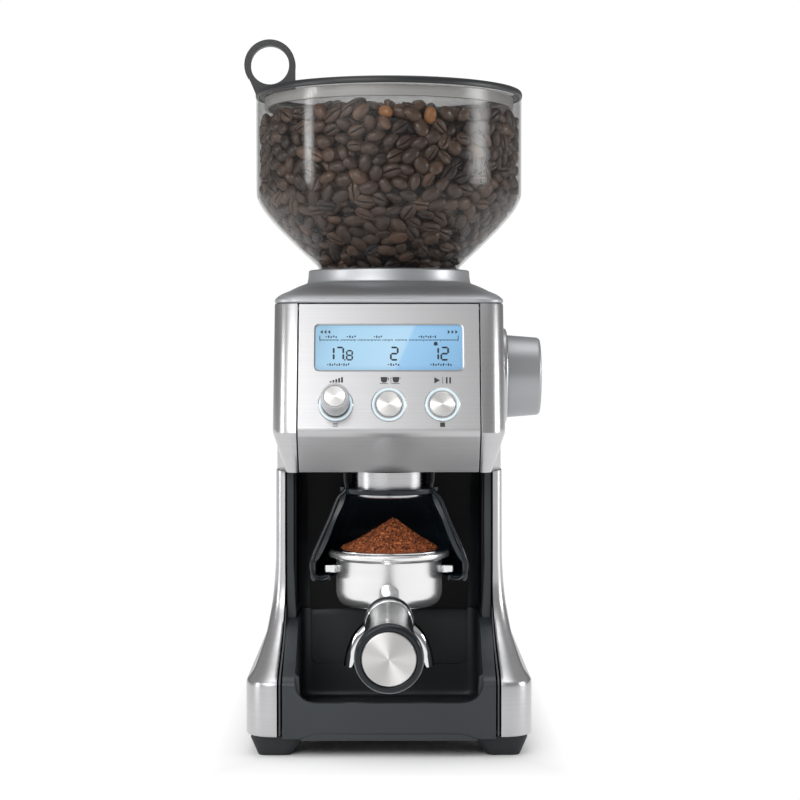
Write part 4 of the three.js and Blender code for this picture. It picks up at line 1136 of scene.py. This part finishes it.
def tray():
    side = rounded([
        (-45, 9.2, 1), (-45, 38.0, 2.2), (-42.0, 41.0, 2), (-28, 47.2, 3), (-19, 52.4, 3), (-11, 57.8, 3),
        (-3, 62.8, 3), (4, 65.6, 2),
        (45, 66, 0.5), (45, 13.7), (-42, 13.7), (-42, 9.2),
    ], True, 6)
    body = prism("tray_body", side, -55.5, 55.5, "grey", "YZ")
    cutters = []
    for s in (-1, 1):
        lo, hi = sorted((s * 50.9, s * 70))
        cutters.append(prism("hole", rect(4.4, 70, 0, 90, 0.1), lo, hi, "grey", "YZ"))
    well = []
    for z, half, front, rear_y, r in (
        (16, 46, -38.5, 39.5, 8), (17.2, 48, -40.5, 41.4, 7), (20, 49, -41.4, 42.4, 6), (40, 49.1, -41.6, 42.6, 5),
        (90, 49.2, -41.6, 42.6, 5),
    ):
        well.append([(x, y, z) for x, y in rect(-half, half, front, rear_y, r, 8)])
    cutters.append(loft("hole", well, "grey"))
    gap = rounded([(-49.2, 90), (-49.2, 28, 12.5), (49.2, 28, 12.5), (49.2, 90)], True, 9)
    cutters.append(prism("hole", gap, -60, -41, "grey", "XZ"))
    cutters.append(prism("hole", rect(-44, 44, 34, 90, 6), 40, 60, "grey", "XZ"))
    cut(body, *cutters)
    bevelled(body, 0.9, 3, 35)
    lip = prism(
        "tray_lip",
        rounded([(-46, 9.4, 1), (-38.5, 12.2, 2.5), (38.5, 12.2, 2.5), (46, 9.4, 1), (46, 8.6), (-46, 8.6)], True, 6),
        -45.5, -42.4, "grey", "XZ",
    )
    bevelled(lip, 0.35, 2, 40)
    bump = lathe(
        "tray_bump", [(0, 7.6), (15, 8.0, 1), (18, 9.4), (0, 9.4)], "grey", 48, Matrix.Translation((0, -0.026, 0)),
    )
    shown(joined("tray_moulding", [body, lip, bump]), "tray", "grey_plastic", "grinds_tray")


def feet():
    for name in ("front_left", "front_right", "rear_left", "rear_right"):
        low, high = span("foot_" + name)
        sx = 1 if high.x > 0 else -1
        x0, x1 = sorted((abs(low.x), abs(high.x)))
        mid_y, half_y = (low.y + high.y) / 2, (high.y - low.y) / 2
        rings = []
        for z, inner, outer, dy, r in (
            (0, 8.0, 4.4, 1.8, 4), (0.4, 7.4, 4.0, 1.4, 5), (8.8, 0.3, 0.1, 0.1, 8), (10.2, 0, 0, 0, 8),
        ):
            ring = rect(x0 + inner, x1 - outer, mid_y - half_y + dy, mid_y + half_y - dy, r, 8)
            rings.append([(sx * x, y, z) for x, y in ring])
        obj = bevelled(loft("foot", rings, "rubber", sharp=45), 0.3, 2, 50)
        obj.name = "foot_pad_" + name
        shown(obj, "housing", "rubber", "foot_" + name)
    low, high = span("base_plate")
    plate = prism("base_pan", rect(low.x, high.x, low.y, high.y, 17, 12), low.z, high.z, "grey", bevel=0.5)
    shown(plate, "housing", "grey_plastic", "base_plate")


# ---------------------------------------------------------------- outlet and cradle
def outlet():
    ring = [(17.8, 132.3, 0.3), (19.8, 131.9, 0.6), (20.7, 132.8, 0.8), (20.9, 145.9), (17.9, 145.9)]
    shown(
        lathe("outlet_sleeve", ring, "steel_up", 128, AT_OUTLET, closed=True), "housing", "brushed_steel",
        "outlet_ring",
    )
    spout = [(14.2, 134.2, 0.4), (17.3, 134.2, 0.4), (17.3, 150.2), (14.2, 150.2)]
    shown(
        lathe("outlet_tube", spout, "black", 96, AT_OUTLET, closed=True), "housing", "black_plastic", "outlet_spout",
    )


def cradle_ring(z, r, leg, wall):
    half = lambda q: [(q, OUT_Y - leg), *arc(0, OUT_Y, q, 0, 180, 40), (-q, OUT_Y - leg)]
    return [(x, y, z) for x, y in half(r) + half(r - wall)[::-1]]


def cradle():
    levels = [
        (87.6, 41.0, 14.6, 1.2), (88.6, 41.8, 15, 2.0), (91, 42.1, 15, 2.6), (97, 42.0, 15, 2.6),
        (100.5, 39.6, 14.4, 2.6), (110, 35.0, 12.6, 2.6), (120, 31.2, 11, 2.6), (134, 25.9, 8, 2.6),
        (137.4, 26.4, 8, 2.6),
    ]
    zs = np.linspace(levels[0][0], levels[-1][0], 40)
    t = np.array(levels)
    rings = [cradle_ring(z, *(monotone(t[:, 0], t[:, k], [z])[0] for k in (1, 2, 3))) for z in zs]
    shell = loft("cradle_shell", rings, "cradle", sharp=50)
    shelf_out = [(31.6, OUT_Y - 14), *arc(0, OUT_Y, 31.6, 0, 180, 40), (-31.6, OUT_Y - 14)]
    shelf_in = [(40.5, OUT_Y - 14), *arc(0, OUT_Y, 40.5, 0, 180, 40), (-40.5, OUT_Y - 14)]
    shelf = bevelled(prism("cradle_shelf", shelf_in + shelf_out[::-1], 87.5, 90.1, "cradle"), 0.8, 3, 50, 50)
    crown = lathe(
        "cradle_crown", [(21.3, 134, 0.5), (25.6, 134, 0.8), (25.9, 137.3, 0.8), (21.3, 137.3, 0.5)], "gloss", 96,
        AT_OUTLET, closed=True,
    )
    ribs = []
    for s in (-1, 1):
        path = [
            (23.8, -4.6, 146), (23.5, -4.6, 141), (22.9, -5, 137.2), (24.6, -5.3, 134.6), (27.4, -5.6, 131.8),
            (31.4, -7.4, 121.8),
            (36, -9.2, 111.5), (39.6, -10.6, 103.2), (41.4, -11.3, 96.8), (40.7, -11.3, 91.8), (38.2, -11.2, 89.0),
            (35, -11, 88.5), (32.6, -11, 89.3),
        ]
        ribs.append(swept("rib", [(s * x, y, z) for x, y, z in path], 1.15, "gloss", 16, 1.7, 8))
    bracket = prism("cradle_bracket", rect(-13, 13, 92, 111, 2), 42.2, 47.6, "gloss", "XZ", 0.6)
    shown(joined("cradle_moulding", [shell, shelf, crown, *ribs, bracket]), "housing", "gloss_black", "cradle")
    plunger = [(0, 37.2), (2.2, 37.2, 0.5), (3.1, 38, 0.4), (3.1, 47), (0, 47)]
    shown(lathe("plunger", plunger, "black", 40, plunger_matrix()), "switch", "black_plastic", "switch_plunger")


# ---------------------------------------------------------------- portafilter
def handle_matrix():
    """The handle's axis as local Z, running straight out from the bowl."""
    return Matrix.Translation((0, -0.024, 0.0713)) @ Matrix.Rotation(math.pi / 2, 4, "X")


def portafilter():
    bowl = [
        (3.4, 72.6), (22, 72.6, 2.5), (26.6, 74.4, 3), (28.7, 79, 2.5), (28.7, 98.2, 0.8), (29.8, 99.2, 0.6),
        (32.4, 99.6, 0.6), (32.8, 100.6, 0.5),
        (32.8, 102, 0.6), (32.2, 102.8, 0.4), (27.4, 102.8, 0.6), (26.9, 98, 1), (26.9, 76.6), (3.4, 76.6),
    ]
    body = lathe("bowl", bowl, "bowl", 160, AT_OUTLET, closed=True)
    slant = Matrix.Translation((0, -0.020, 0.083)) @ Matrix.Rotation(math.pi / 2 + math.radians(22.6), 4, "X")
    neck = lathe("neck", [(0, 0), (5.6, 0), (6, 12, 4), (8.4, 22, 6), (10.2, 32), (0, 32)], "chrome", 72, slant)
    cut(neck, prism("hole", rect(-25, 25, 40, 110), -80, -46.2, "chrome", "XZ"))
    hub = lathe(
        "hub", [(0, 19), (10.0, 19, 1.5), (10.8, 21, 1), (10.8, 22.5), (0, 22.5)], "chrome", 72, handle_matrix(),
    )
    lugs = []
    for s in (-1, 1):
        lo, hi = sorted((s * 27.8, s * 35.2))
        lugs.append(prism("lug", rect(lo, hi, OUT_Y - 7.5, OUT_Y + 4, 1.6), 91, 95.4, "chrome", bevel=0.7))
    shown(joined("portafilter_metal", [body, neck, hub, *lugs]), "portafilter", "chrome", "portafilter_body")
    basket = [
        (0, 79.6), (24.6, 79.6, 1.2), (26.4, 81.2, 1), (26.4, 103.1, 0.3), (31.6, 103.0, 0.4), (32.0, 104.0, 0.6),
        (26.4, 104.3, 0.8), (25.7, 103.4, 0.4), (25.7, 81.4), (0, 80.4),
    ]
    shown(lathe("basket", basket, "chrome", 144, AT_OUTLET), "portafilter", "chrome", "filter_basket")
    handle = handle_matrix()
    ring = [(6, 22.6), (12.2, 22.6, 0.7), (13, 23.4, 0.7), (13, 25.8, 0.6), (12, 26.6, 0.4), (6, 26.6)]
    collar = [(6, 26.7), (11.6, 26.7, 0.3), (12.2, 28, 1), (12.2, 33.4, 0.6), (11.7, 34.1, 0.3), (6, 34.1)]
    black = lathe("handle_ring", ring, "gloss", 96, handle, closed=True)
    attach(black, "portafilter")
    shown(
        lathe("handle_collar", collar, "chrome", 96, handle, closed=True), "portafilter", "chrome", "handle_ferrule",
    )
    length = -24 - span("handle_end_cap")[0].y
    grip = [
        (0, 34.3), (11.2, 34.3, 0.8), (12.0, 40, 4), (12.2, 60, 8), (12.6, 84, 8), (13.8, 112, 8), (15.4, 132, 5),
        (16.05, 140, 2), (16.1, length - 2.0, 1.4),
        (15.2, length - 0.1, 0.9), (13.0, length - 0.1, 0.5), (12.7, length - 1.6), (12.7, length - 3),
        (0, length - 3),
    ]
    shown(lathe("handle_grip", grip, "gloss", 128, handle), "portafilter", "gloss_black", "portafilter_handle")
    cap = [(0, length - 3.1), (12.5, length - 3.1), (12.5, length - 0.5, 0.4), (12.0, length, 0.25), (0, length)]
    shown(lathe("handle_disc", cap, "spun", 128, handle), "portafilter", "brushed_steel", "handle_end_cap")
    arms = []
    for s in (-1, 1):
        path = [
            (s * 1.5, OUT_Y, 63.5), (s * 9.5, OUT_Y, 60.5), (s * 15.4, OUT_Y, 55), (s * 19.0, OUT_Y, 47.4),
            (s * 20.6, OUT_Y, 39.2),
        ]
        arms.append(swept("arm", path, (5.0, 4.8, 4.6, 4.3, 4.1), "chrome", 28, 1.0, 10))
    stem = lathe("stem", [(0, 60), (6.4, 60, 1.5), (7.4, 63, 1), (7.4, 72.3), (0, 72.3)], "chrome", 72, AT_OUTLET)
    shown(joined("twin_spout", [stem, *arms]), "portafilter", "chrome", "double_spout")


def coffee():
    """A heap with a granular surface, and loose grains over it."""
    rows, cols = ((110, 280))
    rim, lean = 26.2, 2.5
    radii = np.linspace(0, 1, rows) ** 0.9 * rim
    height = np.interp(
        radii, [0, 1.2, 4, 8, 12, 16, 20, 23.5, 25.3, rim],
        [119.8, 119.2, 117.2, 114.4, 111.6, 109.2, 107, 105.2, 104.5, 104.2],
    )
    turn = np.linspace(0, math.tau, cols, endpoint=False)
    slow = sum(np.sin(turn * k + p) * a for k, p, a in ((2, 0.4, 0.4), (3, 1.9, 0.32), (5, 4.0, 0.24)))

    def spot(r, a, j, z):
        """A place on the heap, with its peak moved a little to the right."""
        fade = min(1, (rim - r) / 3) * min(1, r / 3)
        return (r * math.cos(a) + lean * (1 - r / rim), r * math.sin(a), z + slow[j] * fade)

    wobble = nrng.normal(0, 1, (rows, cols))
    wobble = (wobble + np.roll(wobble, 1, 1) + np.roll(wobble, 1, 0)) / 1.7
    verts, tint_and_shade = [], []
    for i, r in enumerate(radii):
        for j, a in enumerate(turn):
            verts.append(spot(r, a, j, height[i] + wobble[i, j] * 0.22 * min(1, r / 1.5)))
            # painted shade: the heap's colour darkens where its wobble dips and lightens on its bumps
            tint_and_shade.append(float(np.clip(0.4 + 0.22 * wobble[i, j], 0, 1)))
    faces = [
        (i * cols + j, i * cols + (j + 1) % cols, (i + 1) * cols + (j + 1) % cols, (i + 1) * cols + j)
        for i in range(rows - 1)
        for j in range(cols)
    ]
    base, low = (rows - 1) * cols, len(verts)
    verts += [(25.3 * math.cos(a), 25.3 * math.sin(a), 82) for a in turn]
    tint_and_shade += [0.2] * cols
    faces += [(base + j, base + (j + 1) % cols, low + (j + 1) % cols, low + j) for j in range(cols)]
    faces.append(tuple(range(low, low + cols))[::-1])
    cube = np.array(
        [
            (-1, -1, -1), (1, -1, -1), (1.1, 1, -0.8), (-0.9, 1, -1), (-0.8, -0.9, 1), (0.9, -1, 0.8), (0.7, 0.8, 1),
            (-1, 0.9, 0.9),
        ],
        float,
    )
    sides = [(0, 3, 2, 1), (4, 5, 6, 7), (0, 1, 5, 4), (1, 2, 6, 5), (2, 3, 7, 6), (3, 0, 4, 7)]
    all_verts = [np.array(verts)]
    count = len(verts)
    grains = 3400
    for _ in range(grains):
        r, a = 25.4 * math.sqrt(rng.random()), rng.uniform(0, math.tau)
        z = float(np.interp(r, radii, height)) + rng.uniform(-0.1, 0.2)
        turned = np.array(Matrix.Rotation(rng.uniform(0, 6), 3, (rng.random(), rng.random(), rng.random() + 0.1)))
        size = rng.uniform(0.24, 0.66) * np.array((1, rng.uniform(0.55, 1), rng.uniform(0.5, 0.9)))
        all_verts.append((cube * size) @ turned.T + np.array(spot(r, a, int(a / math.tau * cols) % cols, z)))
        faces += [tuple(count + i for i in f) for f in sides]
        count += 8
        tint_and_shade += [min(1, max(0, rng.gauss(0.5, 0.32)))] * 8
    obj = made("coffee_heap", np.concatenate(all_verts), faces, "coffee", None, 30, AT_OUTLET)
    layer = obj.data.attributes.new("tint_and_shade", "FLOAT", "POINT")
    layer.data.foreach_set("value", np.array(tint_and_shade, np.float32))
    shown(obj, "portafilter", "ground_coffee", "ground_coffee")


# ---------------------------------------------------------------- CAD nodes that keep their own mesh
def carried():
    looks = {
        "chassis": "grey", "gearbox_housing": "grey", "gearbox_cover": "grey", "motor": "iron",
        "motor_pinion": "iron",
        "drive_gear": "nylon", "idler_gear": "nylon", "burr_shaft": "iron", "cone_burr": "iron", "ring_burr": "iron",
        "impeller": "nylon", "grind_chamber": "black", "adjust_ring": "nylon", "dial_shaft": "nylon",
        "chute": "black",
        "hopper_gate": "black", "hopper_lock_knob": "black", "hopper_seat": "grey", "lcd_module": "black",
        "control_board": "board", "switch_carrier": "black",
    }
    for name, look in looks.items():
        obj = frame["nodes"][name]
        obj.data.materials.clear()
        obj.data.materials.append(M[look])


# ---------------------------------------------------------------- stage, light and camera
PAPER = (1.02, 1.02, 1.02, 1)  # a little over white, so that the backdrop comes out clean
# axis, middle, half side and width of the fade of the patch of floor that takes shadow, in metres
PATCH = ((0, 0.0, 0.064, 0.03), (1, 0.06, 0.1, 0.055))
# height from straight down to straight up, and how bright the room is there
ROOM = ((0.0, 0.5), (0.45, 0.55), (0.51, 0.5), (0.55, 0.22), (0.65, 0.22), (0.72, 0.4), (0.85, 0.32), (1.0, 0.5))


def stage():
    """A white floor that takes the object's shadow near it and fades to plain white further out."""
    mesh = bpy.data.meshes.new("floor")
    half = 12.0
    mesh.from_pydata([(-half, -half, 0), (half, -half, 0), (half, half, 0), (-half, half, 0)], [], [(0, 1, 2, 3)])
    floor = placed("floor", mesh)
    s = Shade("floor_paper")
    s.tone(s.noise(3, (1, 1, 1), 2), (0.9, 0.9, 0.9), (0.93, 0.93, 0.93))
    s.set(Roughness=0.8)
    coords = s.split(s.coords)
    beyond = []
    for axis, middle, half_side, fade in PATCH:
        off = s.calc("ABSOLUTE", s.calc("SUBTRACT", coords[axis], middle))
        beyond.append(s.calc("DIVIDE", s.calc("SUBTRACT", off, half_side), fade))
    lamp = s.node("ShaderNodeEmission", PAPER)
    reach = s.spread(s.calc("MAXIMUM", *beyond), 0.0, 1.0)
    mix = s.node("ShaderNodeMixShader", reach, s.bsdf.outputs[0], lamp.outputs[0])
    s.link(mix.outputs[0], s.tree.nodes["Material Output"].inputs["Surface"])
    mesh.materials.append(s.mat)


def softbox(name, place, aim, size, radiance, soft):
    """A rectangular light with faded edges; radiance says how bright its face looks."""
    light = bpy.data.lights.new(name, "AREA")
    light.shape = "RECTANGLE"
    light.size, light.size_y = size
    light.energy = math.pi * size[0] * size[1] * radiance
    light.use_nodes = True
    s = Nodes(light.node_tree)
    across = s.split(s.node("ShaderNodeNewGeometry").outputs["Parametric"])
    fades = []
    for axis in (0, 1):
        hump = s.calc("PINGPONG", across[axis], 0.5)
        fade = s.node("ShaderNodeMapRange", hump, 0.0, soft[axis] / 2, interpolation_type="SMOOTHSTEP")
        fades.append(fade.outputs[0])
    s.link(s.calc("MULTIPLY", *fades), s.tree.nodes["Emission"].inputs["Strength"])
    obj = placed(name, light)
    obj.location = place
    obj.rotation_euler = (Vector(aim) - Vector(place)).to_track_quat("-Z", "Y").to_euler()


def world():
    """A grey room for the metal to reflect, which the camera sees as plain white."""
    room = bpy.data.worlds.new("studio")
    bpy.context.scene.world = room
    room.use_nodes = True
    s = Nodes(room.node_tree)
    height = s.split(s.node("ShaderNodeTexCoord").outputs["Generated"])["Z"]
    grey = s.ramp(s.spread(height, 0.0, 1.0, -1.0, 1.0), [(place, [value] * 3) for place, value in ROOM])
    mix = s.node("ShaderNodeMix", s.node("ShaderNodeLightPath").outputs["Is Camera Ray"], data_type="RGBA")
    s.link(grey, mix.inputs[6])
    mix.inputs[7].default_value = PAPER
    s.link(mix.outputs[2], s.tree.nodes["Background"].inputs["Color"])
    s.tree.nodes["Background"].inputs["Strength"].default_value = 1.0


def lights():
    low, high = (0, 0.02, 0.15), (0, 0.06, 0.32)
    softbox("side_left", (-0.95, -0.3, 0.06), low, (0.45, 0.75), 2.4, (0.9, 0.4))
    softbox("side_right", (0.98, -0.1, 0.06), low, (0.7, 0.75), 1.9, (0.9, 0.4))
    softbox("hopper_left", (-0.94, -0.28, 0.44), high, (0.24, 0.26), 27.0, (0.9, 0.9))
    softbox("hopper_right", (0.98, -0.1, 0.44), high, (0.55, 0.26), 19.0, (1.0, 0.9))
    softbox("front_left", (-0.45, -0.85, 0.68), (-0.02, -0.02, 0.2), (1.5, 0.75), 6.2, (1.0, 0.9))
    softbox("overhead", (0, 0.1, 1.3), (0, 0.06, 0.2), (1.4, 1.2), 2.0, (0.6, 0.6))


def camera():
    cam = bpy.data.cameras.new("camera")
    cam.sensor_width = 36
    cam.lens = 1953 / 800 * cam.sensor_width  # a long lens, 2.44 frame widths
    obj = placed("camera", cam)
    obj.location = (0, -1.053, 0.216)
    look_down, look_right = math.atan(0.0302), math.atan(11 / 1953)
    obj.rotation_euler = (math.pi / 2 - look_down, 0, -look_right)
    bpy.context.scene.camera = obj
    view = bpy.context.scene.view_settings
    view.view_transform = "Standard"
    view.look = "None"


carried()
skin("left")
skin("right")
fascia()
top_cover()
rear()
controls()
display()
legends()
dial()
hopper()
beans()
lid()
bay()
tray()
feet()
outlet()
cradle()
portafilter()
coffee()
stage()
world()
lights()
camera()
